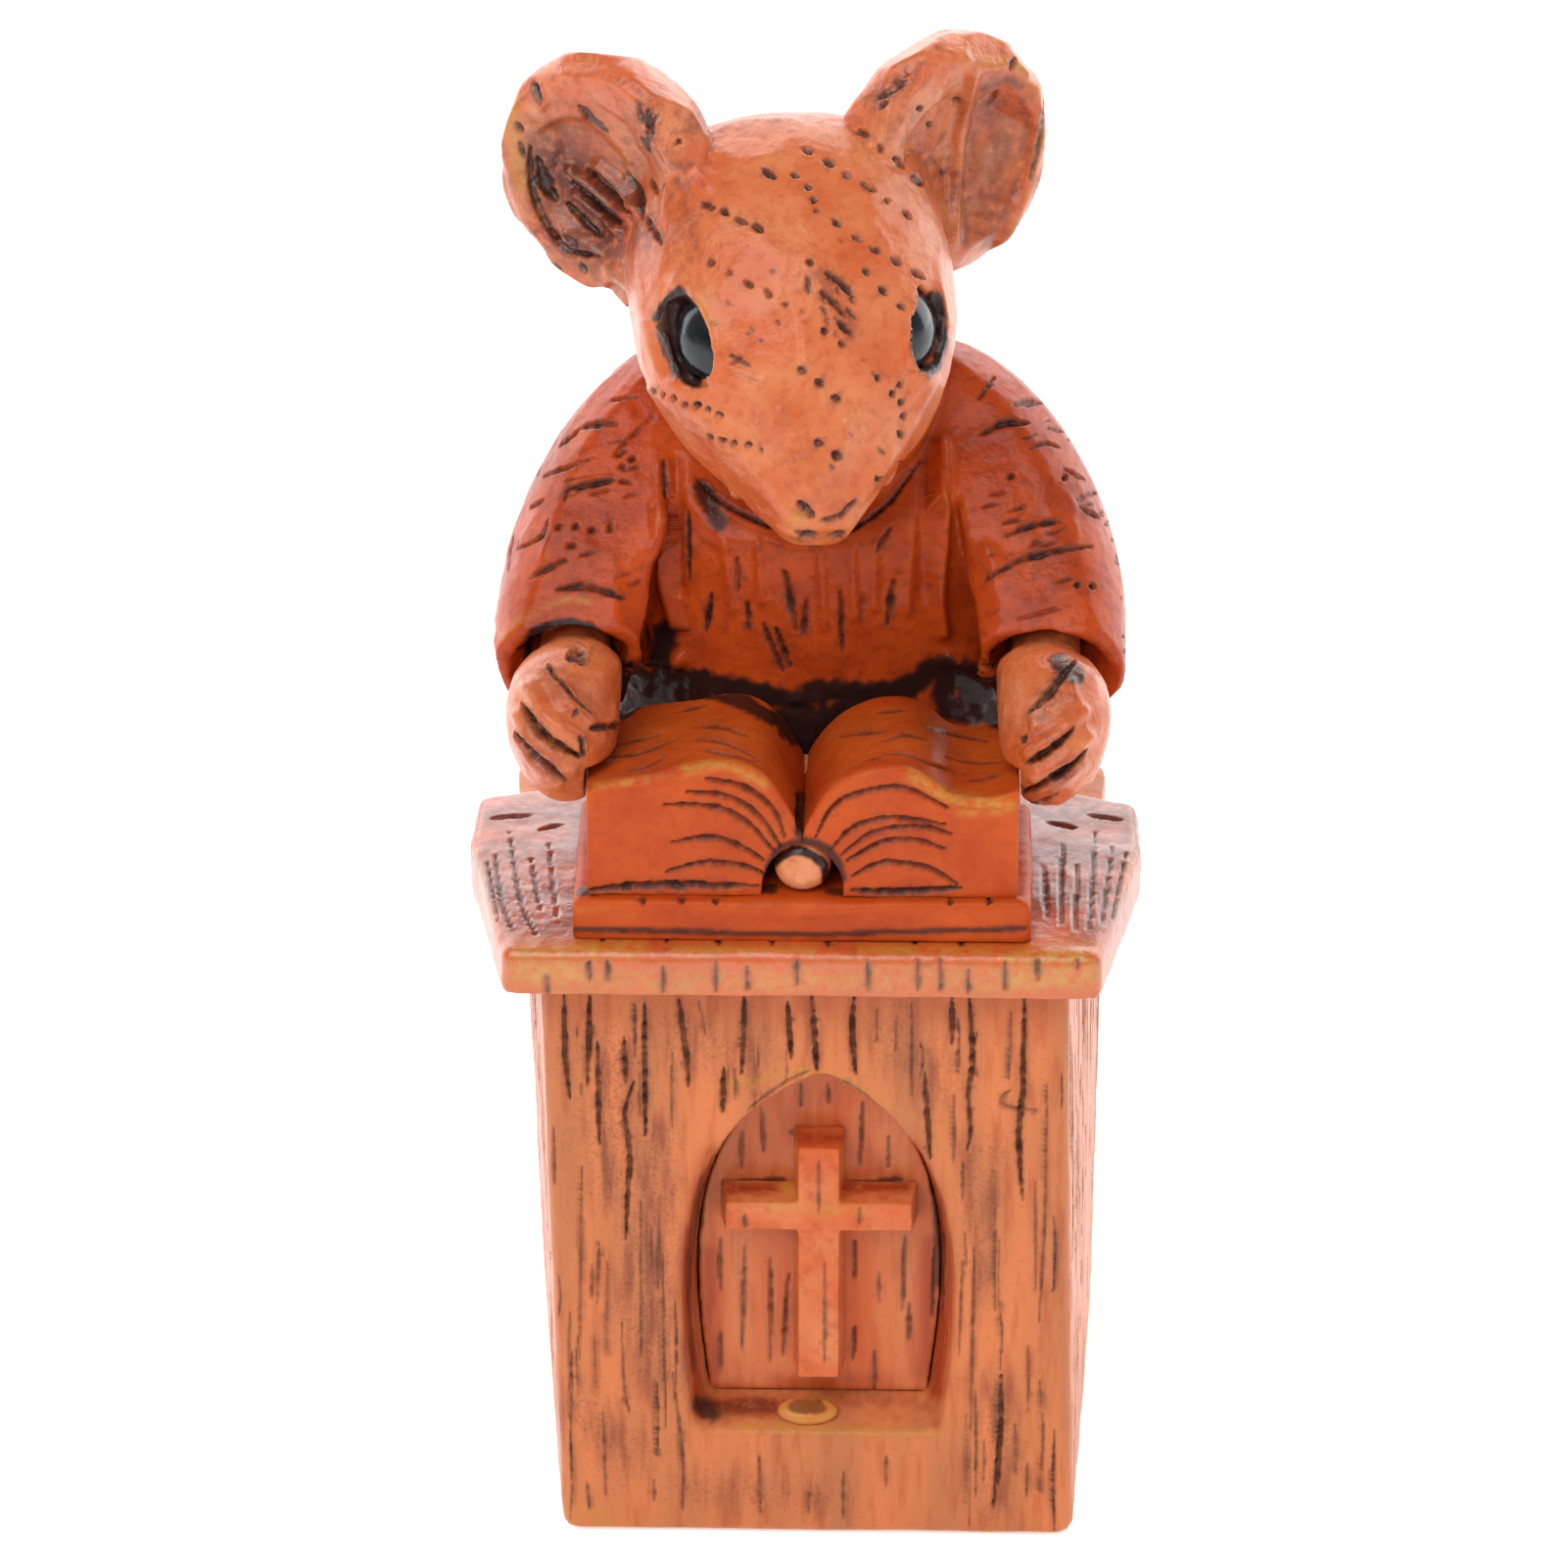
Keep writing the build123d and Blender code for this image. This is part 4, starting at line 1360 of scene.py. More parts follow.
def cut_apart(
    shape: Shape, names: tuple[str, ...], blur: int = 14
) -> dict[str, tuple[np.ndarray, np.ndarray]]:
    """Share the faces of a joined skin among the solids that it covers.

    Args:
        shape: skin of squares.
        names: the solids' node names.
        blur: how often the shares are averaged, so that the seams run smoothly.

    Returns:
        For each name, the faces as rows of point numbers, and the rim edges as pairs.
    """
    corners = np.empty(len(shape.mesh.loops), dtype=np.int32)
    shape.mesh.loops.foreach_get("vertex_index", corners)
    faces = corners.reshape(-1, 4)
    points: list[Vector] = []
    polygons: list[tuple[int, ...]] = []
    owner: list[int] = []
    for number, name in enumerate(names):
        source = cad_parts[name].data
        start = len(points)
        points.extend(vertex.co.copy() for vertex in source.vertices)
        for polygon in source.polygons:
            polygons.append(tuple(start + corner for corner in polygon.vertices))
            owner.append(number)
    tree = BVHTree.FromPolygons(points, polygons)
    share = np.zeros((len(shape.points), len(names)))
    for number, place in enumerate(shape.points):
        nearest = tree.find_nearest(place)
        share[number, owner[nearest[2]]] = 1.0
    for _ in range(blur):
        share = 0.4 * share + 0.6 * shape.around(share)
    choice = np.argmax(share[faces].mean(axis=1), axis=1)
    parts = {}
    for number, name in enumerate(names):
        own = faces[choice == number]
        sides = np.concatenate([own[:, [corner, (corner + 1) % 4]] for corner in range(4)])
        key = np.sort(sides, axis=1)
        _, index, times = np.unique(key, axis=0, return_index=True, return_counts=True)
        parts[name] = (own, sides[index[times == 1]])
    return parts


def rim_loops(rim: np.ndarray) -> list[list[int]]:
    """Chain rim edges into closed loops.

    Args:
        rim: pairs of point numbers, each in its face's direction.

    Returns:
        The loops as lists of point numbers.
    """
    onward: dict[int, list[int]] = {}
    for start, end in rim:
        onward.setdefault(int(start), []).append(int(end))
    loops = []
    while onward:
        start = next(iter(onward))
        loop = [start]
        while True:
            ends = onward[loop[-1]]
            step = ends.pop()
            if not ends:
                del onward[loop[-1]]
            if step == start or step not in onward:
                break
            loop.append(step)
        if len(loop) > 2:
            loops.append(loop)
    return loops


@dataclass
class Casting:
    """Solids of the frame under one carved and painted skin.

    voxel is the size of the skin's squares and wobble the height of its unevenness, in millimetres.
    """

    finishes: dict[str, Glaze | Bead]
    voxel: float
    marks: list[tuple[Flat, list[Mark]]] = field(default_factory=list)
    swell: float = 0.0
    soft_passes: int = 3
    wobble: float = 0.06
    wobble_wave: float = 3.2
    flats: int = 0
    flat_reach: float = 2.0
    flatness: float = 0.7
    refine_rounds: int = 0
    cavity: float = 2.2
    edge_wear: float = 1.0
    seed: int = 3

    def skin(self) -> Shape:
        """Make the skin and carve it.

        Returns:
            The carved shape.
        """
        mesh = voxel_skin(node_mesh(tuple(self.finishes), self.swell), self.voxel)
        if self.refine_rounds:
            for view, marks in self.marks:
                refine(mesh, view, marks, self.refine_rounds)
        shape = Shape(mesh)
        shape.soften(self.soft_passes)
        if self.swell:
            shape.push(np.full(len(shape.points), -self.swell))
            shape.refresh()
        self.uneven(shape)
        for number, (view, marks) in enumerate(self.marks):
            shape.carve(view, marks, self.seed + number)
        self.rub(shape)
        shape.points[:, 2] = np.maximum(shape.points[:, 2], 0.0)
        shape.refresh()
        return shape

    def uneven(self, shape: Shape) -> None:
        """Give the skin the unevenness of a hand-carved master.

        Args:
            shape: the skin.
        """
        broad = cast_noise(shape.points, self.wobble_wave * MM, self.seed)
        fine = cast_noise(shape.points, self.wobble_wave * 0.3 * MM, self.seed + 1)
        lift = self.wobble * (broad + 0.35 * fine)
        shape.push(lift)
        shape.refresh()
        if self.flats:
            shape.chisel(self.flats, self.flat_reach, self.flatness, self.seed + 2)

    def rub(self, shape: Shape) -> None:
        """Leave dark paint in the hollows, paint shade into the broad hollows and rub the glaze off the
        edges.

        Args:
            shape: the carved skin.
        """
        reach = max(int(0.55 / self.voxel), 3)
        hollow = shape.hollows(reach * 2)
        grit = 0.5 + 0.5 * cast_noise(shape.points, 1.1 * MM, self.seed + 7)
        caught = smoothstep(0.05, 0.24, hollow * (0.6 + 0.8 * grit)) * 0.38 * self.cavity
        shape.wash_and_shade = np.maximum(shape.wash_and_shade, caught)
        # Painted shade: broad hollows darken towards the deep colour.
        wide_hollow = shape.hollows(reach * 14)
        hollow_shade = smoothstep(0.1, 0.7, wide_hollow * (0.7 + 0.6 * grit)) * 0.85
        shape.deep = np.maximum(shape.deep, hollow_shade)
        edges = smoothstep(0.04, 0.16, -hollow) * smoothstep(0.35, 0.8, grit)
        shape.worn_and_sheen = np.maximum(shape.worn_and_sheen, edges * 0.5 * self.edge_wear)
        shape.wash_and_shade = 0.6 * shape.wash_and_shade + 0.4 * shape.around(shape.wash_and_shade)

    def build(self) -> list[bpy.types.Object]:
        """Make one piece for each solid.

        Returns:
            The pieces.
        """
        names = tuple(self.finishes)
        shape = self.skin()
        if len(names) == 1:
            return [self.whole(shape, names[0])]
        parts = cut_apart(shape, names)
        return [self.part(shape, name, *parts[name]) for name in names]

    def whole(self, shape: Shape, name: str) -> bpy.types.Object:
        """Turn the whole skin into the piece of one solid.

        Args:
            shape: the carved skin.
            name: the solid's node name.

        Returns:
            The piece.
        """
        shape.mesh.name = name + "_skin"
        shape.mesh.shade_smooth()
        shape.store_paint(shape.mesh, np.arange(len(shape.points)))
        return self.dress(shape.mesh, name)

    def part(self, shape: Shape, name: str, faces: np.ndarray, rim: np.ndarray) -> bpy.types.Object:
        """Turn a share of the skin into a closed piece.

        Args:
            shape: the carved skin.
            name: the solid's node name.
            faces: the share's faces as rows of point numbers.
            rim: its rim edges.

        Returns:
            The piece.
        """
        used = np.unique(faces)
        place = np.full(len(shape.points), -1)
        place[used] = np.arange(len(used))
        points = [tuple(row) for row in shape.points[used]]
        polygons = [tuple(row) for row in place[faces]]
        chosen = list(used)
        for loop in rim_loops(rim):
            points.append(tuple(shape.points[loop].mean(axis=0)))
            chosen.append(loop[0])
            ring = [int(place[number]) for number in loop]
            for start, end in zip(ring, ring[1:] + ring[:1]):
                polygons.append((end, start, len(points) - 1))
        mesh = bpy.data.meshes.new(name + "_skin")
        mesh.from_pydata(points, [], polygons, shade_flat=False)
        mesh.update()
        self.sharpen_rim(mesh, len(used))
        shape.store_paint(mesh, np.array(chosen))
        return self.dress(mesh, name)

    @staticmethod
    def sharpen_rim(mesh: bpy.types.Mesh, count: int) -> None:
        """Keep the hidden caps out of the shading of the skin.

        Args:
            mesh: the piece's mesh.
            count: number of points that belong to the skin, before the caps' middles.
        """
        ends = np.empty(len(mesh.edges) * 2, dtype=np.int32)
        mesh.edges.foreach_get("vertices", ends)
        ends = ends.reshape(-1, 2)
        spokes = ends[(ends >= count).any(axis=1)]
        on_rim = np.zeros(len(mesh.vertices), dtype=bool)
        on_rim[spokes.ravel()] = True
        sharp = on_rim[ends].all(axis=1)
        layer = mesh.attributes.new("sharp_edge", "BOOLEAN", "EDGE")
        layer.data.foreach_set("value", sharp)

    def dress(self, mesh: bpy.types.Mesh, name: str) -> bpy.types.Object:
        """Give a mesh its finish and its place in the frame.

        Args:
            mesh: the mesh.
            name: node name of the solid that it stands for.

        Returns:
            The piece.
        """
        finish = self.finishes[name]
        mesh.materials.clear()
        mesh.materials.append(finish.material())
        piece = bpy.data.objects.new("cast_" + name, mesh)
        bpy.context.scene.collection.objects.link(piece)
        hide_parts(name)
        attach(piece, "root")
        return piece


@dataclass
class Pulpit:
    """The pulpit with its niche, cross and board.

    Voxels and wobbles are millimetres, and columns are pixels of a side view.
    """

    body_voxel: float = 0.45
    body_wobble: float = 0.05
    body_rounds: int = 2
    plaque_voxel: float = 0.16
    plaque_wobble: float = 0.04
    cross_voxel: float = 0.13
    cross_wobble: float = 0.05
    mound_voxel: float = 0.09
    board_voxel: float = 0.2
    board_wobble: float = 0.1
    soft_edges: int = 4
    deep_groove: Tool = Tool(3.7, 0.36, 0.9)
    fine_groove: Tool = Tool(2.0, 0.18, 0.6)
    plaque_groove: Tool = Tool(2.5, 0.3, 0.75)
    board_groove: Tool = Tool(3.0, 0.28, 0.85)
    upright: Point = (0.0, 1.0)
    left_columns: Point = (-270, 190)
    right_columns: Point = (-190, 270)
    back_columns: Point = (-280, 290)

    def front_marks(self) -> list[Mark]:
        """Draw the grooves and the paint of the front panel.

        Returns:
            The marks.
        """
        deep_cuts = [
            ((576, 1016), (577, 1078), (582, 1121)), ((602, 1016), (601, 1060), (600, 1109)),
            ((610, 1064), (611, 1120), (612, 1169)), ((637, 1058), (639, 1105)),
            ((647, 1105), (638, 1136), (643, 1179), (641, 1218), (639, 1265)), ((658, 1021), (659, 1160)),
            ((693, 1019), (697, 1050), (701, 1078), (703, 1109)), ((739, 1091), (738, 1136)),
            ((760, 1016), (759, 1060), (757, 1097)), ((804, 1023), (808, 1082)), ((829, 1016), (834, 1093)),
            ((872, 1017), (870, 1050), (874, 1097)), ((944, 1095), (950, 1183)), ((972, 1018), (972, 1066)),
            ((989, 1017), (993, 1078), (989, 1117), (991, 1156), (987, 1175)),
            ((1046, 1016), (1044, 1117), (1040, 1156), (1044, 1226)),
            ((1022, 1403), (1022, 1459), (1014, 1541)),
        ]
        fine_cuts = [
            ((713, 1021), (721, 1058)), ((686, 1074), (686, 1156)), ((931, 1023), (931, 1120)),
            ((974, 1117), (974, 1187)), ((983, 1187), (983, 1226)), ((983, 1280), (979, 1385)),
            ((1069, 1105), (1067, 1241), (1061, 1350)),
            ((1016, 1195), (1016, 1338)),
            ((995, 1272), (991, 1459)),
            ((1032, 1113), (1023, 1120), (1029, 1130), (1063, 1134)), ((594, 1191), (592, 1389)),
            ((612, 1268), (610, 1331)), ((654, 1226), (655, 1405)), ((676, 1272), (680, 1459)),
            ((686, 1397), (697, 1486), (697, 1541)), ((616, 1440), (619, 1533)), ((600, 1514), (602, 1541)),
            ((668, 1510), (668, 1533)), ((775, 1486), (777, 1545)), ((826, 1525), (826, 1545)),
            ((861, 1502), (861, 1552)), ((905, 1486), (905, 1517)), ((1049, 1494), (1048, 1529)),
            ((635, 1350), (637, 1412), (643, 1444)), ((915, 1040), (914, 1074)), ((565, 1150), (566, 1210)),
        ]
        patches = [
            ((566, 1200), (690, 1480), 16, (30, 120), 11),
            ((978, 1200), (1082, 1480), 14, (30, 120), 12),
            ((566, 1020), (1086, 1110), 16, (16, 60), 14),
        ]
        marks = self.deep_groove.cuts(deep_cuts) + self.fine_groove.cuts(fine_cuts)
        for low, high, count, long, seed in patches:
            marks += Scatter(low, high, count, self.upright, long, (1.0, 2.0), 0.12, seed).marks()
        marks += [
            dust((623, 1080), (628, 1200), wide=44), dust((666, 1170), (662, 1330), (680, 1400), wide=40),
            dust((700, 1060), (760, 1080), wide=40, tone=0.6),
            dust((915, 1060), (960, 1100), wide=40, tone=0.6),
            dust((1000, 1180), (1000, 1300), wide=30, tone=0.6),
            dust((590, 1440), (640, 1480), wide=36, tone=0.6),
            dust((700, 1520), (860, 1530), wide=26, tone=0.5),
            dust((1020, 1420), (1016, 1530), wide=24, tone=0.7),
            worn_and_sheen((575, 1540), (640, 1562), wide=14, tone=0.6),
            worn_and_sheen((720, 1112), (830, 1092), wide=5, tone=0.7),
            worn_and_sheen((842, 1094), (930, 1140), wide=5, tone=0.6),
            worn_and_sheen((756, 1456), (954, 1464), wide=6, tone=0.8),
            # Painted shadow under the board's overhang.
            shade((570, 1030), (820, 1028), (1084, 1030), wide=26, tone=0.3),
            # Painted shade in the niche's reveals.
            shade((726, 1180), (706, 1250), (704, 1340), (714, 1440), wide=12, tone=1.0),
            shade((930, 1170), (958, 1240), (964, 1330), (956, 1420), wide=12, tone=1.0),
            stain_and_shade((718, 1200), (703, 1290), (708, 1400), wide=3, tone=0.6),
            stain_and_shade((940, 1180), (958, 1240), (962, 1320), wide=3, tone=0.7),
            # Painted shade in the niche sill's back corners and along its back.
            stain_and_shade((714, 1434), (730, 1444), wide=9, tone=0.9),
            stain_and_shade((728, 1440), (784, 1434), wide=9, tone=0.5),
            shade((726, 1434), (800, 1436), wide=14, tone=1.0),
            shade((860, 1430), (930, 1430), wide=10, tone=0.4),
            cut((828, 1092), (800, 1106), (762, 1134), wide=2.2, deep=0.15, tone=0.5),
            cut((842, 1096), (880, 1116), (930, 1164), wide=2.2, deep=0.15, tone=0.6),
        ]
        return marks

    def niche_marks(self) -> list[Mark]:
        """Draw the grooves and the paint of the plaque behind the cross.

        Returns:
            The marks.
        """
        cuts = [
            ((817, 1106), (818, 1130)), ((845, 1106), (846, 1128)), ((778, 1130), (780, 1176)),
            ((757, 1155), (757, 1195)), ((881, 1124), (877, 1194)), ((907, 1160), (907, 1192)),
            ((735, 1264), (735, 1318)), ((761, 1263), (757, 1380)), ((787, 1282), (787, 1392)),
            ((806, 1300), (800, 1384)), ((872, 1264), (872, 1310)), ((897, 1300), (898, 1330)),
            ((924, 1260), (922, 1338)), ((955, 1272), (953, 1345)), ((735, 1358), (735, 1400)),
            ((893, 1380), (893, 1424)), ((872, 1350), (871, 1390)), ((928, 1330), (929, 1370)),
        ]
        return self.plaque_groove.cuts(cuts) + [
            stain_and_shade((714, 1220), (710, 1300), (716, 1420), (724, 1450), wide=6.0, tone=0.75),
            stain_and_shade((950, 1190), (956, 1240), (957, 1310), wide=4.0, tone=0.8),
            stain_and_shade((716, 1440), (734, 1456), wide=14.0), stain_and_shade((760, 1436), (790, 1436), wide=9.0, tone=0.6),
            stain_and_shade((742, 1208), (800, 1204), wide=3.0, tone=0.8),
            stain_and_shade((862, 1208), (920, 1204), wide=3.0, tone=0.8),
            stain_and_shade((808, 1156), (860, 1156), wide=3.0, tone=0.7),
            worn_and_sheen((800, 1440), (850, 1440), wide=9, tone=0.8),
            # Painted shade on the sill, behind the head of the cross, along the niche's sides and at its
            # foot.
            shade((730, 1420), (800, 1440), wide=16, tone=0.8),
            shade((860, 1160), (940, 1230), wide=18, tone=0.5),
            shade((752, 1190), (815, 1136), (840, 1120), wide=24, tone=0.4),
            shade((724, 1280), (730, 1400), wide=12, tone=0.7),
            shade((948, 1270), (942, 1400), wide=12, tone=0.7),
            shade((790, 1410), (900, 1410), wide=12, tone=0.5),
        ]

    @staticmethod
    def mound_marks() -> list[Mark]:
        """Draw the ochre rim and the dark crown of the mound.

        Returns:
            The marks.
        """
        return [worn_and_sheen((800, 1440), (848, 1440), wide=26), stain_and_shade((812, 1436), (836, 1436), wide=7, tone=0.6)]

    def side_marks(self, seed: int, columns: Point) -> list[Mark]:
        """Draw the upright grooves of a side or the back.

        Args:
            seed: number that picks the grooves.
            columns: pixel columns where they start and end.

        Returns:
            The marks.
        """
        near, far = columns
        high = Scatter((near, -650), (far, -420), 46, self.upright, (40, 170), (1.6, 3.8), 0.26, seed)
        low = Scatter((near, -430), (far, -90), 50, self.upright, (30, 110), (1.4, 3.2), 0.22, seed + 1)
        return high.marks() + low.marks()

    def board_marks(self) -> list[Mark]:
        """Draw the grooves and the worn edges of the board.

        Returns:
            The marks.
        """
        front = [
            (558, 993, 1016), (601, 980, 1000), (620, 980, 1003), (677, 986, 1014), (730, 980, 1012),
            (763, 986, 1012), (813, 980, 1005), (886, 982, 1014), (937, 980, 1012), (960, 977, 1014),
            (988, 989, 1014), (1026, 982, 1012), (1059, 977, 1000), (1100, 979, 990), (615, 953, 962),
            (680, 953, 962), (733, 955, 964), (788, 956, 964), (845, 958, 966), (934, 956, 964),
            (981, 956, 966),
        ]
        marks = self.board_groove.cuts([((x, high), (x + 1, low)) for x, high, low in front])
        marks += [
            cut((505, 868), (512, 920), (524, 950), wide=2.7, tone=0.85),
            cut((520, 850), (532, 920), (548, 956), wide=2.4, tone=0.85),
            cut((542, 876), (552, 930), wide=2.4, tone=0.85),
            cut((560, 860), (570, 944), wide=2.2, tone=0.85),
            cut((497, 880), (508, 940), wide=2.1, tone=0.85),
            cut((500, 836), (545, 832), wide=2.4, tone=0.8),
            cut((548, 848), (574, 842), wide=2.4, tone=0.7),
            cut((1066, 880), (1068, 940), wide=2.4, tone=0.85),
            cut((1084, 860), (1082, 950), wide=2.4, tone=0.85),
            cut((1100, 880), (1096, 958), wide=2.2, tone=0.85),
            cut((1118, 850), (1112, 950), wide=2.5, tone=0.85),
            cut((1136, 862), (1124, 948), wide=2.4, tone=0.85),
            cut((1150, 870), (1136, 940), wide=2.1, tone=0.85),
            cut((1070, 840), (1100, 846), wide=2.4, tone=0.7),
            cut((1110, 832), (1146, 838), wide=2.4, tone=0.7),
            shade(
                (500, 832), (586, 832), (586, 866), (500, 872), (512, 912), (580, 912), (576, 944),
                (528, 944), wide=24,
            ),
            shade(
                (1060, 832), (1150, 832), (1146, 872), (1060, 872), (1064, 912), (1132, 916), (1114, 946),
                wide=24,
            ),
            worn_and_sheen((530, 972), (590, 970), (650, 968), wide=12, tone=0.95),
            worn_and_sheen((530, 992), (590, 994), wide=20, tone=1.0),
            worn_and_sheen((690, 970), (830, 970), wide=6, tone=0.8),
            worn_and_sheen((740, 1000), (830, 1002), wide=16, tone=0.8),
            worn_and_sheen((880, 970), (1010, 970), wide=6, tone=0.8),
            worn_and_sheen((890, 996), (980, 998), wide=15, tone=0.6),
            worn_and_sheen((1030, 980), (1110, 974), wide=14, tone=0.95),
            worn_and_sheen((1030, 1000), (1112, 996), wide=18, tone=1.0),
            worn_and_sheen((560, 1002), (720, 1004), wide=20, tone=0.6),
            worn_and_sheen((830, 1000), (1030, 1002), wide=20, tone=0.6),
            worn_and_sheen((1140, 930), (1160, 850), wide=5, tone=0.6),
            worn_and_sheen((486, 866), (500, 950), wide=4, tone=0.6),
        ]
        return marks

    @staticmethod
    def cross_marks() -> list[Mark]:
        """Draw the grooves and the paint of the cross.

        Returns:
            The marks.
        """
        return [
            worn_and_sheen((800, 1206), (806, 1216), wide=9),
            # Painted shade on the top faces of the arms and the head, and on the left arm's end.
            shade((744, 1213), (790, 1214), wide=8, tone=1.0),
            shade((864, 1213), (924, 1212), wide=8, tone=1.0),
            shade((814, 1162), (856, 1162), wide=8, tone=1.0),
            shade((740, 1210), (742, 1250), wide=5, tone=0.6),
            worn_and_sheen((790, 1232), (880, 1236), wide=8, tone=0.5),
            cut((836, 1180), (836, 1240), wide=2.2, deep=0.14, tone=0.6),
            cut((842, 1290), (842, 1390), wide=2.2, deep=0.14, tone=0.6),
            cut((760, 1240), (761, 1254), wide=2.6, deep=0.14, tone=0.6),
            cut((878, 1232), (877, 1250), wide=2.6, deep=0.14, tone=0.6),
        ]

    def build(self) -> list[bpy.types.Object]:
        """Make the pulpit's pieces.

        Returns:
            The pieces.
        """
        body = Casting({"pulpit_body": PULPIT_GLAZE}, self.body_voxel, wobble=self.body_wobble)
        body.refine_rounds = self.body_rounds
        body.soft_passes = self.body_rounds
        body.marks = [
            (PHOTO, self.front_marks()),
            (LEFT, self.side_marks(21, self.left_columns)),
            (RIGHT, self.side_marks(31, self.right_columns)),
            (BACK, self.side_marks(41, self.back_columns)),
        ]
        plaque = Casting({"niche_panel": NICHE_GLAZE}, self.plaque_voxel, wobble=self.plaque_wobble)
        plaque.marks = [(PHOTO, self.niche_marks())]
        cross = Casting({"niche_cross": CROSS_GLAZE}, self.cross_voxel, wobble=self.cross_wobble)
        cross.marks = [(PHOTO, self.cross_marks())]
        cross.soft_passes = self.soft_edges
        mound = Casting({"cross_mound": CROSS_GLAZE}, self.mound_voxel, [(PHOTO, self.mound_marks())])
        board = Casting({"desk_board": BOARD_GLAZE}, self.board_voxel, wobble=self.board_wobble)
        board.marks = [(PHOTO, self.board_marks())]
        board.soft_passes = self.soft_edges
        pieces = []
        for casting in (body, plaque, cross, mound, board):
            pieces += casting.build()
        return pieces


@dataclass
class Book:
    """The open book with its cover, page halves and spine roll. Voxels and wobbles are millimetres."""

    cover_voxel: float = 0.2
    cover_wobble: float = 0.1
    page_voxel: float = 0.15
    page_wobble: float = 0.07
    spine_voxel: float = 0.12
    spine_wobble: float = 0.03
    fan_groove: Tool = Tool(3.2, 0.42, 0.7)
    line_groove: Tool = Tool(2.4, 0.2, 0.65)

    def page_marks(self) -> list[Mark]:
        """Draw the fan grooves, the wavy lines and the worn edges of the pages.

        Returns:
            The marks.
        """
        fan = [
            ((802, 856), (788, 824), (758, 803), (719, 794)),
            ((791, 870), (763, 840), (731, 824), (676, 821)),
            ((781, 879), (754, 863), (726, 855), (685, 860)),
            ((781, 892), (754, 883), (717, 881), (680, 890)),
            ((832, 856), (850, 824), (882, 808), (924, 805), (970, 826)),
            ((848, 867), (873, 844), (914, 835), (965, 842)),
            ((864, 879), (901, 860), (937, 858), (965, 867)),
            ((869, 895), (901, 881), (947, 886), (979, 904)),
            ((858, 873), (892, 850), (940, 844), (972, 852)),
            ((798, 866), (776, 834), (746, 814), (700, 808)),
        ]
        lines = [
            ((708, 742), (736, 742), (765, 752)), ((623, 762), (653, 755), (676, 750)),
            ((708, 755), (740, 758), (772, 773)), ((621, 773), (653, 769), (690, 755)),
            ((641, 787), (662, 782), (680, 771)), ((717, 766), (754, 773), (777, 782)),
            ((690, 727), (722, 720)), ((857, 752), (882, 748), (908, 746)), ((896, 727), (924, 725)),
            ((901, 757), (924, 750), (947, 755)), ((947, 743), (974, 750), (1011, 757)),
            ((901, 769), (928, 771), (956, 782), (988, 791)), ((965, 773), (993, 778), (1020, 778)),
            ((988, 798), (1022, 791)), ((880, 778), (900, 772)),
        ]
        return self.fan_groove.cuts(fan) + self.line_groove.cuts(lines) + [
            cut((776, 905), (735, 904), (660, 904), (594, 910), wide=5.0, deep=0.4),
            cut((868, 909), (919, 911), (983, 906), wide=4.6, deep=0.36),
            cut((816, 812), (816, 848), wide=4.0, deep=0.3),
            ridge((606, 800), (662, 796), (700, 784), (736, 780), (772, 790), (796, 824), wide=8, deep=0.25),
            ridge(
                (836, 836), (846, 808), (876, 790), (920, 786), (956, 804), (980, 818), (1034, 820),
                wide=8, deep=0.25,
            ),
            worn_and_sheen((700, 788), (740, 782), (780, 800), wide=6, tone=0.8),
            worn_and_sheen((608, 803), (660, 797), wide=4, tone=0.5),
            worn_and_sheen((930, 792), (966, 812), (1030, 822), wide=8, tone=0.85),
            worn_and_sheen((980, 830), (1020, 828), wide=6, tone=0.6),
            # Painted sheen on the page tops, in ochre.
            worn_and_sheen((640, 762), (700, 740), (770, 752), wide=30, tone=0.16),
            worn_and_sheen((860, 748), (930, 742), (1010, 772), wide=30, tone=0.16),
            # Painted shade in the gutter between the page halves, in the arch over the spine roll, and in the
            # gap between the page tops and the gown.
            stain_and_shade((816, 850), (817, 812), wide=5, tone=0.9),
            stain_and_shade((784, 897), (795, 870), (823, 860), (850, 874), (859, 897), wide=6, tone=0.9),
            stain_and_shade(
                (634, 727), (676, 702), (708, 702), (754, 715), (800, 735), (855, 711), (914, 702),
                (960, 711), (979, 727), (1029, 739), wide=8, tone=0.95,
            ),
            stain_and_shade((802, 743), (812, 752), wide=9, tone=0.9),
            shade((640, 850), (740, 866), wide=44, tone=0.3),
            shade((890, 860), (1000, 866), wide=44, tone=0.3),
        ]

    @staticmethod
    def cover_marks() -> list[Mark]:
        """Draw the lines, ticks and worn edges of the cover.

        Returns:
            The marks.
        """
        places = [(657, 919), (696, 919), (731, 920), (970, 921), (1010, 920)]
        ticks = pits(*places, wide=3.2, long=4.0, lean=(0.1, 1.0))
        return ticks + [
            # Painted shade along the cover's joins with the page blocks and along its lower lip.
            stain_and_shade((594, 911), (660, 906), (790, 908), wide=5, tone=0.9),
            stain_and_shade((846, 910), (930, 912), (1000, 908), wide=4, tone=0.8),
            stain_and_shade((588, 949), (700, 951), (816, 954), (930, 951), (1046, 948), wide=3, tone=0.9),
            ridge((600, 922), (720, 924), (816, 932), (920, 924), (1040, 922), wide=7, deep=0.15),
            worn_and_sheen((590, 930), (620, 926), wide=5, tone=0.3),
            shade((700, 940), (930, 940), wide=10, tone=0.4),
        ]

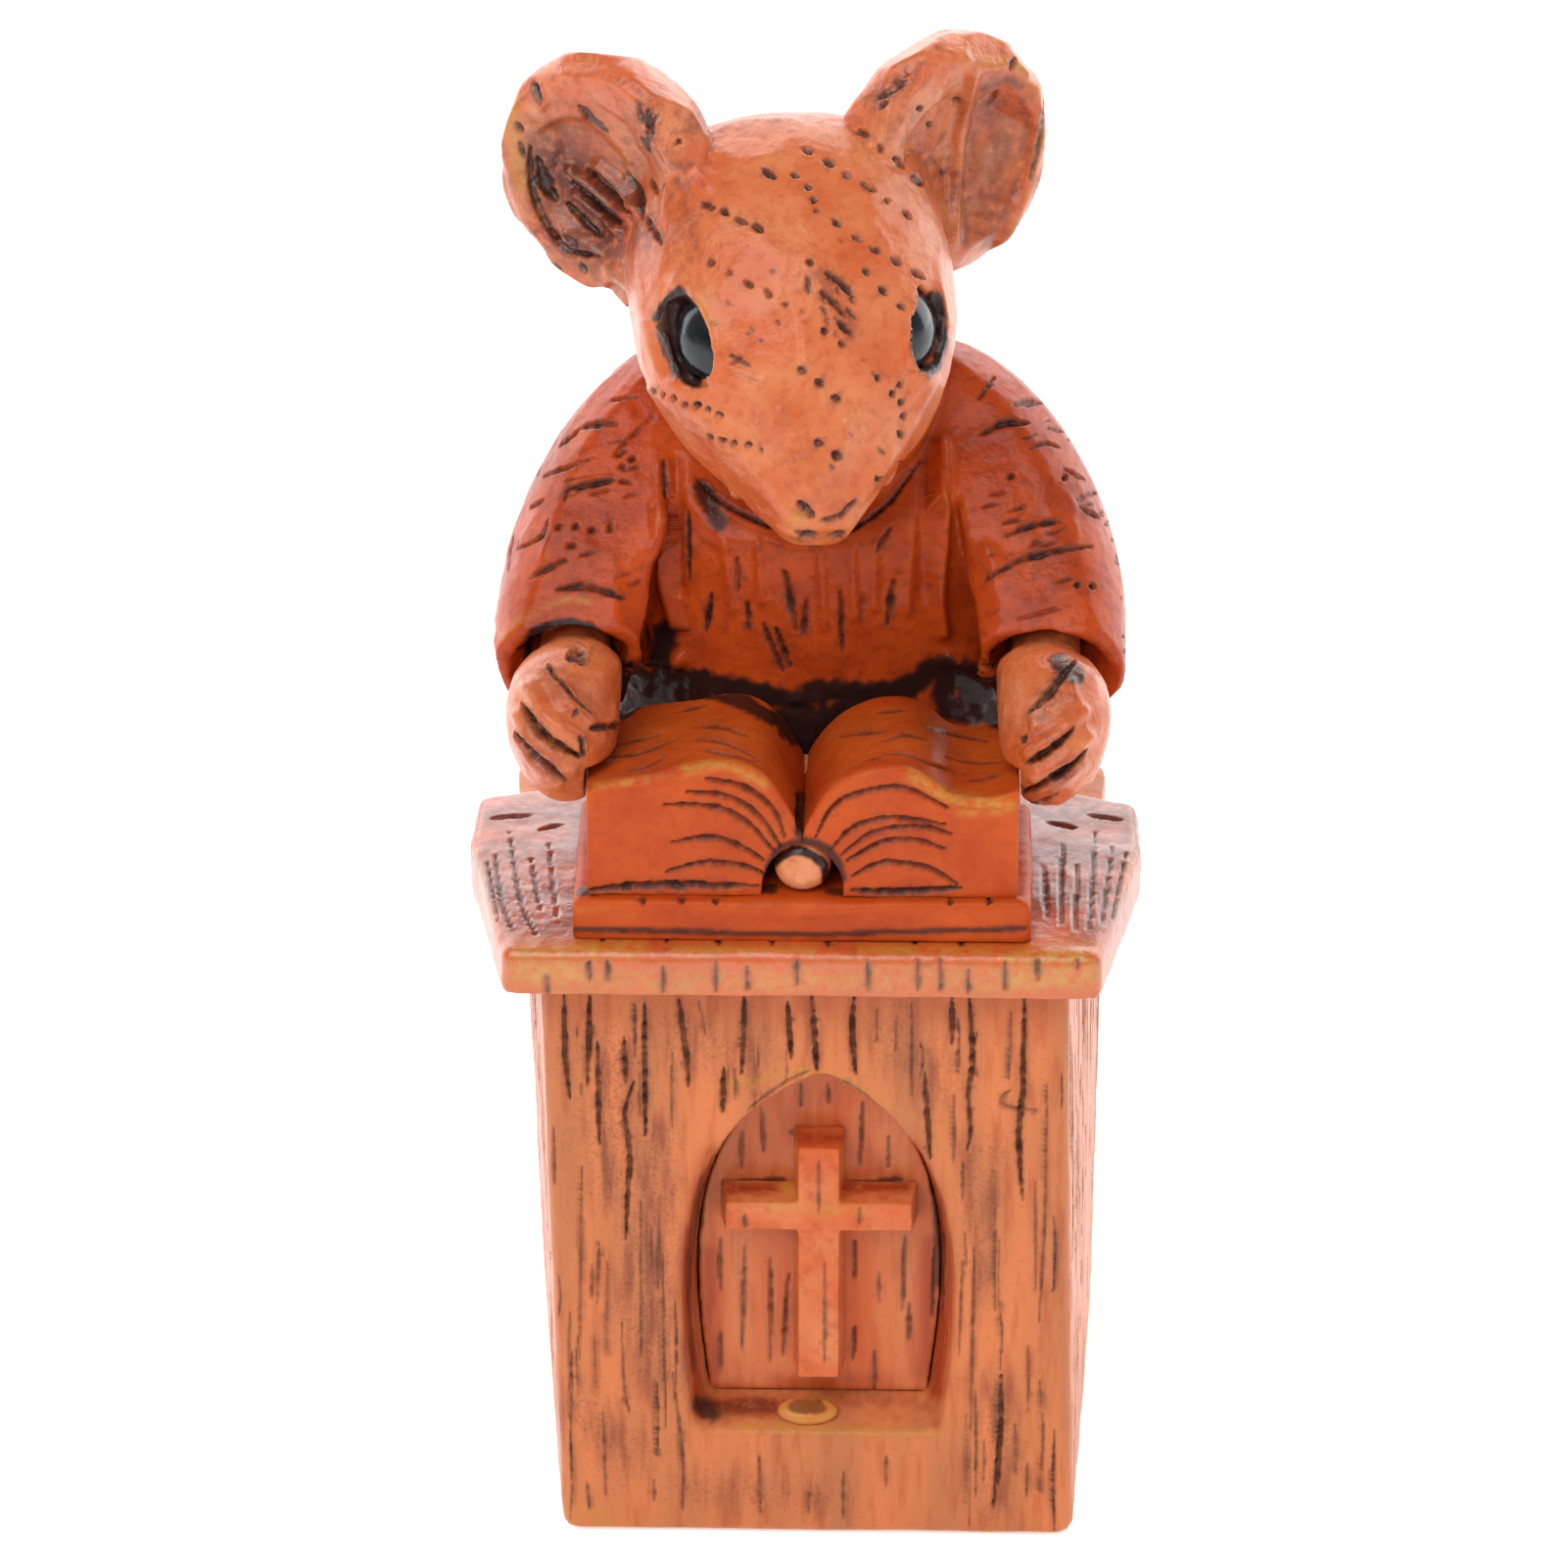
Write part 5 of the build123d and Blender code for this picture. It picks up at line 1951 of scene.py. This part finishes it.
    def build(self) -> list[bpy.types.Object]:
        """Make the book's pieces.

        Returns:
            The pieces.
        """
        cover = Casting({"book_cover": BOOK_GLAZE}, self.cover_voxel, wobble=self.cover_wobble)
        cover.marks = [(PHOTO, self.cover_marks())]
        castings = [cover]
        for name, seed in (("left_pages", 8), ("right_pages", 9)):
            pages = Casting({name: BOOK_GLAZE}, self.page_voxel, wobble=self.page_wobble, seed=seed)
            pages.marks = [(PHOTO, self.page_marks())]
            castings.append(pages)
        spine = Casting({"book_spine": LIT_SPINE_GLAZE}, self.spine_voxel, wobble=self.spine_wobble)
        # Painted shade in the arch around the spine roll's end.
        spine.marks = [(PHOTO, [stain_and_shade((786, 905), (790, 882), (814, 868), (840, 882), (844, 905), wide=5)])]
        castings.append(spine)
        pieces = []
        for casting in castings:
            pieces += casting.build()
        return pieces


@dataclass
class Gown:
    """The gown with its chest, collar and sleeves under one skin. Lengths are millimetres."""

    voxel: float = 0.19
    swell: float = 0.1
    soft_passes: int = 26
    wobble: float = 0.1
    flats: int = 160
    flat_reach: float = 2.6

    @staticmethod
    def photo_marks() -> list[Mark]:
        """Draw the folds, grooves and paint that the photograph shows.

        Returns:
            The marks.
        """
        left = [
            cut((593, 437), (612, 433), (630, 433), wide=4.2),
            cut((624, 409), (650, 404), wide=2.4, tone=0.6),
            cut((571, 456), (593, 437), wide=3.0, tone=0.8),
            cut((555, 486), (594, 472), wide=2.4, tone=0.7),
            cut((580, 499), (596, 496), (630, 489), wide=4.4),
            cut((575, 512), (580, 497), wide=2.4, tone=0.7),
            cut((630, 490), (646, 494), wide=2.4, tone=0.7),
            cut((541, 519), (557, 510), wide=2.2, tone=0.7),
            cut((527, 561), (552, 549), (560, 530), wide=2.4, tone=0.8),
            cut((541, 590), (580, 570), wide=3.4, tone=0.8),
            cut((567, 602), (600, 600), (639, 611), wide=4.2),
            cut((626, 464), (669, 423), wide=2.2, deep=0.2, tone=0.6),
            cut((625, 531), (622, 545), wide=3.0, tone=0.6),
            cut((657, 635), (663, 660), wide=3.2, tone=0.8),
        ]
        left += pits((570, 538), (588, 537), (604, 541), (583, 557), (636, 476), (645, 468), wide=4.6)
        right = [
            cut((999, 408), (1016, 385), wide=3.6, tone=0.6),
            cut((1035, 414), (1050, 411), (1064, 412), wide=4.0, tone=0.8),
            cut((1002, 443), (1025, 433), (1051, 432), wide=5.0),
            cut((1052, 458), (1067, 453), (1083, 457), wide=2.4, tone=0.7),
            cut((1070, 437), (1086, 441), wide=2.4, tone=0.6),
            cut((1085, 478), (1108, 490), wide=2.6, tone=0.6),
            cut((1103, 519), (1123, 529), wide=2.8, tone=0.7),
            cut((1028, 547), (1055, 536), (1083, 533), wide=3.8),
            cut((1005, 593), (1040, 572), (1077, 563), (1115, 558), wide=4.2),
            cut((1040, 632), (1085, 620), wide=2.2, deep=0.16, tone=0.5),
        ]
        right += pits((1032, 486), (1087, 488), (1100, 597), (1115, 599), wide=4.0)
        left += Scatter((545, 440), (640, 600), 16, (0.95, -0.28), (7, 22), (1.3, 2.4), 0.18, 63).marks()
        right += Scatter((1000, 400), (1105, 610), 18, (0.96, -0.24), (7, 24), (1.3, 2.4), 0.18, 64).marks()
        chest = [
            cut((678, 468), (680, 511), wide=4.2),
            cut((702, 521), (703, 595), wide=3.6),
            cut((727, 604), (721, 646), wide=3.6),
            cut((763, 614), (764, 644), wide=3.4),
            cut((800, 581), (807, 612), (814, 646), wide=4.0),
            cut((824, 611), (819, 651), wide=3.6),
            cut((779, 636), (799, 686), wide=3.8),
            cut((792, 641), (807, 681), wide=3.4),
            cut((858, 604), (860, 666), wide=3.4),
            cut((913, 591), (906, 639), wide=4.2),
            cut((909, 539), (894, 564), wide=3.2),
            cut((752, 566), (754, 604), wide=2.4, tone=0.6),
            cut((880, 600), (880, 640), wide=2.4, tone=0.5),
            cut((709, 487), (739, 514), (774, 532), (804, 542), (840, 552), (900, 520), (940, 470), wide=3.4),
            ridge((672, 519), (676, 580), (690, 636), wide=9.0, deep=0.7),
            ridge((963, 455), (963, 519), (958, 604), (961, 644), wide=9.0, deep=0.8),
            ridge((740, 556), (748, 620), wide=7, deep=0.3), ridge((774, 556), (778, 612), wide=6, deep=0.26),
            ridge((838, 566), (842, 640), wide=6, deep=0.28),
            ridge((870, 560), (872, 630), wide=6, deep=0.26),
            ridge((893, 556), (892, 620), wide=6, deep=0.26), ridge((930, 556), (926, 624), wide=7, deep=0.3),
            ridge((690, 470), (694, 600), wide=8.0, deep=-0.4),
            ridge((944, 470), (942, 600), wide=8.0, deep=-0.4),
            stain_and_shade((717, 499), (732, 532), wide=10, tone=0.9),
            # Painted shade in the gap between the gown, the page tops and the paws.
            stain_and_shade((680, 644), (677, 698), (700, 693), (759, 706), (811, 716), wide=13),
            stain_and_shade((811, 716), (844, 706), (918, 706), (961, 678), (968, 723), (1008, 728), wide=13),
            stain_and_shade((740, 716), (790, 738), (814, 764), (840, 738), (890, 714), wide=15),
            stain_and_shade((814, 730), (814, 768), wide=20),
            stain_and_shade((640, 680), (668, 730), wide=14), stain_and_shade((655, 696), (690, 714), wide=16),
            stain_and_shade((1012, 690), (1018, 740), wide=11), stain_and_shade((985, 686), (1000, 722), wide=17),
            stain_and_shade((630, 698), (642, 726), wide=12), stain_and_shade((680, 706), (722, 716), wide=9),
            ridge((636, 676), (668, 668), (694, 672), wide=12, deep=0.9),
            ridge((970, 672), (990, 674), (1014, 686), wide=12, deep=0.9),
        ]
        cuffs = [
            shade((560, 470), (590, 520), (580, 590), wide=56, tone=0.3),
            shade((1060, 460), (1070, 520), (1070, 590), wide=56, tone=0.3),
            # Painted shade in the left cuff's opening.
            stain_and_shade((538, 670), (543, 648), (560, 639), (578, 636), (599, 639), (612, 648), (628, 668), wide=5),
            worn_and_sheen((512, 650), (540, 628), (577, 613), (600, 615), wide=5, tone=0.5),
            # Painted shade in the right cuff's opening.
            stain_and_shade((1040, 660), (1060, 654), (1090, 656), wide=4, tone=0.7),
        ]
        return left + right + chest + cuffs

    @staticmethod
    def back_marks() -> list[Mark]:
        """Draw the slanted grooves over the back of the gown.

        Returns:
            The marks.
        """
        slanted = Scatter((-190, -1190), (190, -720), 54, (0.95, -0.22), (20, 60), (1.8, 4.0), 0.3, 51)
        upright = Scatter((-190, -1190), (190, -720), 30, (0.1, 1.0), (24, 80), (1.4, 2.6), 0.2, 52)
        return slanted.marks() + upright.marks()

    @staticmethod
    def flank_marks(seed: int) -> list[Mark]:
        """Draw the slanted grooves over the outside of a sleeve.

        Args:
            seed: number that picks the grooves.

        Returns:
            The marks.
        """
        return Scatter((-150, -1140), (150, -900), 34, (0.94, 0.3), (18, 48), (1.6, 3.6), 0.28, seed).marks()

    def build(self) -> list[bpy.types.Object]:
        """Make the gown's pieces.

        Returns:
            The pieces.
        """
        names = ("robe", "robe_front", "collar", "left_sleeve", "right_sleeve")
        casting = Casting({name: ROBE_GLAZE for name in names}, self.voxel, swell=self.swell)
        casting.soft_passes = self.soft_passes
        casting.wobble = self.wobble
        casting.marks = [
            (PHOTO, self.photo_marks()),
            (BACK, self.back_marks()),
            (LEFT, self.flank_marks(61)),
            (RIGHT, self.flank_marks(62)),
        ]
        casting.flats = self.flats
        casting.flat_reach = self.flat_reach
        return casting.build()


@dataclass
class Head:
    """The mouse's head with its ears under one skin, and its eyes. Lengths are millimetres."""

    voxel: float = 0.17
    swell: float = 0.1
    soft_passes: int = 16
    wobble: float = 0.1
    wobble_wave: float = 3.6
    flats: int = 220
    flat_reach: float = 2.6
    flatness: float = 0.8
    eye_voxel: float = 0.1
    eye_wobble: float = 0.02

    @staticmethod
    def photo_marks() -> list[Mark]:
        """Draw the punched rows, planes and paint that the photograph shows.

        Returns:
            The marks.
        """
        rows = pit_row((881, 137), (935, 182), 4, long=6.0, wide=5.0)
        rows += pit_row((825, 153), (925, 218), 6, long=5.0)
        rows += pit_row((833, 216), (935, 280), 6, long=5.0)
        rows += pit_row((723, 209), (772, 233), 4, long=5.0, wide=4.6)
        rows += pit_row((726, 267), (802, 310), 5, long=3.6)
        rows += pit_row((885, 278), (921, 312), 3, long=4.0)
        rows += pit_row((671, 398), (733, 423), 7, long=2.6, wide=3.6)
        rows += pit_row((727, 444), (777, 458), 5, long=3.0, wide=3.8)
        rows += pits((785, 177), long=9.0, wide=4.2)
        rows += pits((812, 179), (825, 191), (831, 204), (842, 338), (860, 351), (827, 268), long=4.0)
        rows += pits((819, 378), (837, 391), (854, 407), (836, 452), (854, 465), long=5.0, wide=5.0)
        rows += pits((919, 393), (911, 402), (920, 411), (921, 425))
        rows += pits((918, 443), (917, 472), (894, 488), (896, 386))
        scratches = [
            cut((842, 276), (860, 290), (872, 304), wide=4.0),
            cut((838, 296), (852, 310), (864, 324), wide=4.0),
            cut((852, 322), (862, 336), (872, 342), wide=3.8),
            cut((824, 282), (826, 300), wide=3.4),
            cut((745, 362), (766, 374), wide=3.0, tone=0.8), cut((748, 372), (758, 364), wide=2.2, tone=0.7),
            ridge((820, 333), (822, 377), wide=5, deep=0.22),
            ridge((797, 422), (791, 458), wide=5, deep=0.25), ridge((840, 398), (844, 424), wide=4, deep=0.2),
            ridge((752, 384), (770, 392), wide=5, deep=0.25), ridge((776, 392), (772, 430), wide=5, deep=0.2),
            ridge((866, 430), (858, 470), wide=5, deep=0.22),
            ridge((815, 470), (812, 500), wide=5, deep=0.22),
            dust((705, 128), (760, 118), (830, 112), wide=24, tone=0.6),
            dust((690, 160), (700, 250), wide=22, tone=0.6),
            dust((930, 130), (962, 190), wide=20, tone=0.6), dust((840, 280), (870, 340), wide=16, tone=0.6),
            cut((814, 512), (831, 527), wide=5.0, deep=0.5),
            cut((836, 532), (858, 526), (872, 508), wide=3.0),
            cut((812, 543), (822, 546), (833, 546), wide=5.0, deep=0.4),
            cut((846, 547), (854, 546), (862, 544), wide=4.6, deep=0.4),
            shade((800, 430), (836, 500), wide=44, tone=0.25),
            # Painted shade on the lower sides of the muzzle.
            shade((690, 420), (740, 470), (790, 530), wide=14, tone=0.45),
            shade((950, 400), (925, 460), (880, 525), wide=13, tone=0.2),
            worn_and_sheen((816, 529), wide=10),
        ]
        planes = [
            plane((664, 396), (700, 424), (782, 496), (800, 536), (745, 512), (703, 455), wide=14, tone=0.7),
            plane((972, 380), (938, 420), (872, 506), (866, 536), (909, 508), (941, 452), wide=14, tone=0.7),
            ridge((668, 396), (700, 416), (742, 450), (790, 500), (806, 528), wide=11, deep=0.3),
            ridge((949, 392), (922, 452), (900, 480), (872, 508), wide=11, deep=0.3),
            ridge((690, 288), (716, 306), (730, 346), (722, 386), wide=8, deep=0.25),
            ridge((944, 296), (928, 326), (930, 366), (944, 384), wide=7, deep=0.22),
            ridge((660, 330), (674, 380), (696, 398), wide=8, deep=0.25),
        ]
        eyes = [
            grab((716, 304), (730, 322), (739, 348), (733, 384), wide=11, shift=(-9.0, 3.0)),
            grab((672, 350), (684, 380), wide=9, shift=(6.0, -2.0)),
            grab((940, 292), (926, 310), (920, 334), (927, 368), wide=10, shift=(9.0, 5.0)),
            stain_and_shade((671, 324), (684, 305), (696, 297), wide=5),
            stain_and_shade((677, 334), (685, 362), (699, 385), (712, 386), wide=7, tone=0.95),
            stain_and_shade((680, 318), (688, 350), wide=10, tone=0.95),
            stain_and_shade((694, 304), (688, 340), (695, 372), (708, 388), wide=9),
            stain_and_shade((696, 298), (714, 320), (724, 352), (716, 380), wide=4),
            stain_and_shade((950, 300), (936, 326), (932, 354), (942, 378), (956, 374), wide=4),
            stain_and_shade((956, 304), (961, 340), (957, 370), (946, 378), wide=7),
            worn_and_sheen((718, 306), (727, 326), wide=7, tone=0.7),
        ]
        nicks = Scatter((836, 274), (872, 340), 12, (0.6, 0.8), (5, 13), (1.5, 2.8), 0.26, 73).marks()
        nicks += Scatter((690, 240), (900, 480), 16, (0.7, 0.7), (4, 9), (1.2, 2.0), 0.14, 74).marks()
        return rows + scratches + nicks + planes + eyes

    @staticmethod
    def ear_marks() -> list[Mark]:
        """Draw the ridges, slots and paint of the ears.

        Returns:
            The marks.
        """
        left = [
            # Deeper glaze and painted shade in the left ear's bowl.
            shade((565, 165), (600, 200), (620, 235), wide=56, tone=1.0),
            ridge((548, 128), (575, 114), (612, 122), (645, 160), wide=9, deep=0.4),
            ridge((583, 172), (612, 196), (641, 221), wide=6, deep=0.8),
            ridge((588, 198), (610, 216), (632, 236), wide=6, deep=0.7),
            ridge((612, 168), (634, 188), (650, 212), wide=6, deep=0.7),
            cut((584, 186), (612, 208), (636, 230), wide=4.6, deep=0.6),
            cut((598, 172), (626, 194), (648, 218), wide=4.6, deep=0.6),
            cut((578, 206), (600, 228), (616, 242), wide=4.6, deep=0.6),
            cut((541, 148), (543, 186), (556, 226), (578, 254), (612, 262), wide=6.0, deep=0.5),
            cut((549, 160), (556, 186), (570, 206), wide=9.0, deep=0.6),
            cut((560, 232), (572, 246), wide=6.0, deep=0.4), cut((576, 240), (590, 252), wide=6.0, deep=0.4),
            cut((640, 176), (654, 200), (656, 226), wide=4.6, deep=0.4),
            dust((552, 236), (590, 256), wide=22, tone=1.0), dust((640, 180), (660, 240), wide=20, tone=0.9),
            worn_and_sheen((520, 108), (526, 150), (536, 190), wide=11, tone=0.9),
            cut((591, 106), (606, 118), (624, 132), wide=4.4),
            cut((652, 104), (656, 126), wide=4.4), cut((662, 108), (662, 136), wide=4.4),
            cut((668, 120), (660, 150), wide=4.0), cut((655, 140), (664, 156), wide=3.6),
            dust((658, 110), (662, 152), wide=18, tone=1.0),
            cut((545, 83), (552, 106), wide=4.2), cut((526, 124), (534, 134), wide=4.0),
            cut((530, 144), (536, 160), wide=3.6),
            cut((560, 270), (574, 280), wide=3.4), cut((592, 268), (598, 278), wide=3.4),
            cut((664, 182), (672, 198), wide=3.6), cut((660, 222), (676, 250), wide=3.8),
        ]
        right = [
            # Deeper glaze and painted shade inside the right ear's bowl and along its edges.
            shade((1012, 110), (1022, 150), (1004, 220), wide=34, tone=0.6),
            shade((1002, 96), (992, 140), (988, 200), (986, 244), wide=9, tone=0.6),
            shade((1044, 96), (1046, 138), (1034, 196), (1008, 248), wide=10, tone=0.6),
            shade((1004, 90), (1024, 82), (1042, 88), wide=8, tone=0.8),
            ridge((994, 76), (980, 137), (976, 197), (973, 245), wide=7, deep=0.55),
            ridge((1056, 90), (1058, 137), (1046, 197), (1018, 256), wide=7, deep=0.45),
            ridge((1004, 150), (994, 200), wide=9, deep=0.25),
            cut((1062, 104), (1060, 140), (1050, 182), wide=3.4, deep=0.25, tone=0.8),
            cut((1036, 58), (1032, 72), wide=3.0), cut((1018, 92), (1006, 110), wide=3.0, deep=0.2, tone=0.5),
            worn_and_sheen((1010, 62), (1040, 66), (1062, 100), wide=9, tone=0.7),
            worn_and_sheen((1066, 120), (1064, 170), wide=6, tone=0.7),
            cut((893, 102), (908, 94), (926, 82), wide=4.6), cut((896, 110), (906, 104), wide=3.6),
            cut((912, 84), (930, 74), wide=3.4, tone=0.8), dust((900, 100), (926, 80), wide=16, tone=0.9),
            dust((960, 150), (974, 200), wide=14, tone=0.6),
        ]
        left += pits((694, 144), wide=4.4)
        right += pits((976, 102), (949, 127), (939, 111), (962, 176), wide=3.6)
        return left + right

    @staticmethod
    def back_marks() -> list[Mark]:
        """Draw punched rows over the back of the skull and scratches over skull and ears.

        Returns:
            The marks.
        """
        rows: list[Mark] = []
        for number in range(6):
            start = (-120.0 + 14.0 * number, -1400.0 + 46.0 * number)
            rows += pit_row(start, (start[0] + 170.0, start[1] + 60.0), 6, long=5.0)
        scratches = Scatter((-260, -1500), (260, -1260), 30, (0.6, 0.8), (14, 40), (1.8, 3.4), 0.26, 71)
        return rows + scratches.marks()

    def build(self) -> list[bpy.types.Object]:
        """Make the head, the ears and the eyes.

        Returns:
            The pieces.
        """
        finishes = {"head": FUR_GLAZE, "left_ear": EAR_GLAZE, "right_ear": EAR_GLAZE}
        casting = Casting(finishes, self.voxel, swell=self.swell, soft_passes=self.soft_passes)
        casting.wobble = self.wobble
        casting.wobble_wave = self.wobble_wave
        casting.marks = [(PHOTO, self.photo_marks() + self.ear_marks()), (BACK, self.back_marks())]
        casting.flats = self.flats
        casting.flat_reach = self.flat_reach
        casting.flatness = self.flatness
        pieces = casting.build()
        for name in ("left_eye", "right_eye"):
            bead = Casting({name: EYE_BEAD}, self.eye_voxel, wobble=self.eye_wobble)
            bead.cavity = 0.0
            bead.edge_wear = 0.0
            pieces += bead.build()
        return pieces


@dataclass
class Paws:
    """The two paws, closed on the page edges. Lengths are millimetres."""

    voxel: float = 0.13
    wobble: float = 0.12
    flats: int = 40
    flat_reach: float = 1.5
    first_seed: int = 80

    @staticmethod
    def photo_marks() -> list[Mark]:
        """Draw the finger grooves, knuckles and pits.

        Returns:
            The marks.
        """
        left = [
            plane((560, 690), (590, 690), (632, 716), (634, 742), (598, 746), (572, 722), wide=8, tone=0.8),
            plane((540, 690), (562, 690), (574, 724), (596, 750), (566, 742), (540, 712), wide=8, tone=0.7),
            ridge((540, 702), (560, 734), (590, 758), wide=9, deep=0.5),
            ridge((530, 730), (548, 758), (584, 784), wide=9, deep=0.5),
            ridge((530, 752), (548, 782), (570, 798), wide=8, deep=0.35),
            cut((559, 678), (572, 700), (593, 718), (604, 728), wide=4.0, deep=0.4),
            cut((578, 672), (590, 670), (598, 678), wide=8.0, deep=0.5),
            cut((601, 744), (635, 742), wide=4.0, deep=0.3),
            cut((591, 750), (597, 772), wide=3.4),
            cut((533, 718), (558, 752), (593, 773), wide=4.8, deep=0.7),
            cut((529, 745), (550, 772), (578, 796), wide=4.8, deep=0.7),
            shade((545, 760), (580, 790), wide=20, tone=0.6),
            shade((560, 690), (604, 740), wide=36, tone=0.4),
            dust((560, 690), (600, 720), wide=20, tone=0.5),
        ]
        left += pits((587, 729), wide=4.6)
        right = [
            plane(
                (1070, 690), (1100, 690), (1108, 720), (1080, 740), (1050, 752), (1046, 730),
                wide=8, tone=0.8,
            ),
            plane((1096, 700), (1112, 720), (1112, 750), (1088, 752), (1082, 740), wide=8, tone=0.7),
            ridge((1104, 726), (1080, 750), (1050, 768), wide=9, deep=0.5),
            ridge((1110, 752), (1086, 774), (1056, 792), wide=9, deep=0.5),
            ridge((1104, 780), (1080, 800), (1056, 812), wide=8, deep=0.35),
            cut((1098, 674), (1084, 690), (1070, 708), (1050, 728), wide=6.0, deep=0.5),
            stain_and_shade((1082, 676), (1098, 690), wide=10, tone=0.9),
            cut((1096, 742), (1083, 756), (1064, 770), (1047, 780), wide=4.8, deep=0.7),
            cut((1108, 764), (1092, 781), (1074, 794), (1045, 808), wide=4.8, deep=0.7),
            cut((1044, 817), (1064, 816), (1080, 807), wide=4.0, deep=0.4),
            shade((1090, 780), (1060, 810), wide=18, tone=0.6),
            shade((1090, 690), (1060, 750), wide=36, tone=0.4),
            dust((1090, 690), (1056, 740), wide=20, tone=0.5),
        ]
        right += pits((1045, 755), wide=5.0)
        return left + right

    def build(self) -> list[bpy.types.Object]:
        """Make the paws.

        Returns:
            The pieces.
        """
        pieces = []
        for number, name in enumerate(("left_paw", "right_paw")):
            casting = Casting({name: FUR_GLAZE}, self.voxel, wobble=self.wobble)
            casting.seed = self.first_seed + number
            casting.marks = [(PHOTO, self.photo_marks())]
            casting.flats = self.flats
            casting.flat_reach = self.flat_reach
            pieces += casting.build()
        return pieces


@dataclass
class Studio:
    """Pale floor and soft light, in metres and watts."""

    floor_half: float = 1.6
    floor_colour: Colour = (0.9, 0.9, 0.9, 1.0)
    sky_strength: float = 0.26
    key_watts: float = 3.3
    fill_watts: float = 0.8
    back_watts: float = 4.9
    side_watts: float = 2.3
    floor_glow: float = 0.46
    floor_roughness: float = 0.7
    key_place: Place = (-0.18, -0.35, 0.5)
    fill_place: Place = (0.4, -0.3, 0.25)
    back_place: Place = (0.0, 0.55, 0.4)
    side_place: Place = (0.46, 0.38, 0.22)
    lamp_size: float = 0.5
    back_size: float = 0.7
    aim: Place = (0.0, 0.0, 0.06)

    def floor(self) -> bpy.types.Object:
        """Make the floor.

        Returns:
            The floor object.
        """
        half = self.floor_half
        mesh = bpy.data.meshes.new("studio_floor")
        corners = [(-half, -half, 0), (half, -half, 0), (half, half, 0), (-half, half, 0)]
        mesh.from_pydata(corners, [], [(0, 1, 2, 3)])
        material = bpy.data.materials.new("studio_paper")
        material.use_nodes = True
        nodes = NodeDesk(material.node_tree)
        shader = nodes.shader()
        shader.inputs["Base Color"].default_value = self.floor_colour
        shader.inputs["Roughness"].default_value = self.floor_roughness
        shader.inputs["Emission Color"].default_value = self.floor_colour
        shader.inputs["Emission Strength"].default_value = self.floor_glow
        mesh.materials.append(material)
        floor = bpy.data.objects.new("studio_floor", mesh)
        bpy.context.scene.collection.objects.link(floor)
        return floor

    def lamp(self, name: str, place: Place, size: float, watts: float) -> bpy.types.Object:
        """Hang a square soft lamp that looks at the ornament.

        Args:
            name: name of the lamp.
            place: where it hangs.
            size: length of its side.
            watts: its power.

        Returns:
            The lamp.
        """
        light = bpy.data.lights.new(name, "AREA")
        light.size = size
        light.energy = watts
        lamp = bpy.data.objects.new(name, light)
        look = Vector(self.aim) - Vector(place)
        lamp.matrix_world = Matrix.Translation(place) @ look.to_track_quat("-Z", "Y").to_matrix().to_4x4()
        bpy.context.scene.collection.objects.link(lamp)
        return lamp

    def build(self) -> None:
        """Set up floor, sky and lamps."""
        self.floor()
        world = bpy.data.worlds.new("studio_sky")
        world.use_nodes = True
        sky = world.node_tree.nodes["Background"]
        sky.inputs["Color"].default_value = (1.0, 1.0, 1.0, 1.0)
        sky.inputs["Strength"].default_value = self.sky_strength
        bpy.context.scene.world = world
        bpy.context.scene.view_settings.view_transform = "Standard"
        self.lamp("key_lamp", self.key_place, self.lamp_size, self.key_watts)
        self.lamp("fill_lamp", self.fill_place, self.lamp_size, self.fill_watts)
        self.lamp("back_lamp", self.back_place, self.back_size, self.back_watts)
        across, behind, high = self.side_place
        self.lamp("left_panel", (-across, behind, high), self.lamp_size, self.side_watts)
        self.lamp("right_panel", (across, behind, high), self.lamp_size, self.side_watts)


def main() -> None:
    """Build the ornament, dress it and report each piece."""
    logging.basicConfig(level=logging.INFO, format="%(message)s")
    PHOTO.build()
    Studio().build()
    for assembly in (Pulpit(), Book(), Gown(), Head(), Paws()):
        for piece in assembly.build():
            LOG.info("%s: %d faces", piece.name, len(piece.data.polygons))
    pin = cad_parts["neck_dowel"]
    pin.data.materials.clear()
    pin.data.materials.append(PIN_WOOD.material())
    LOG.info("neck_dowel: kept from the solid model")


if __name__ == "__main__":
    main()
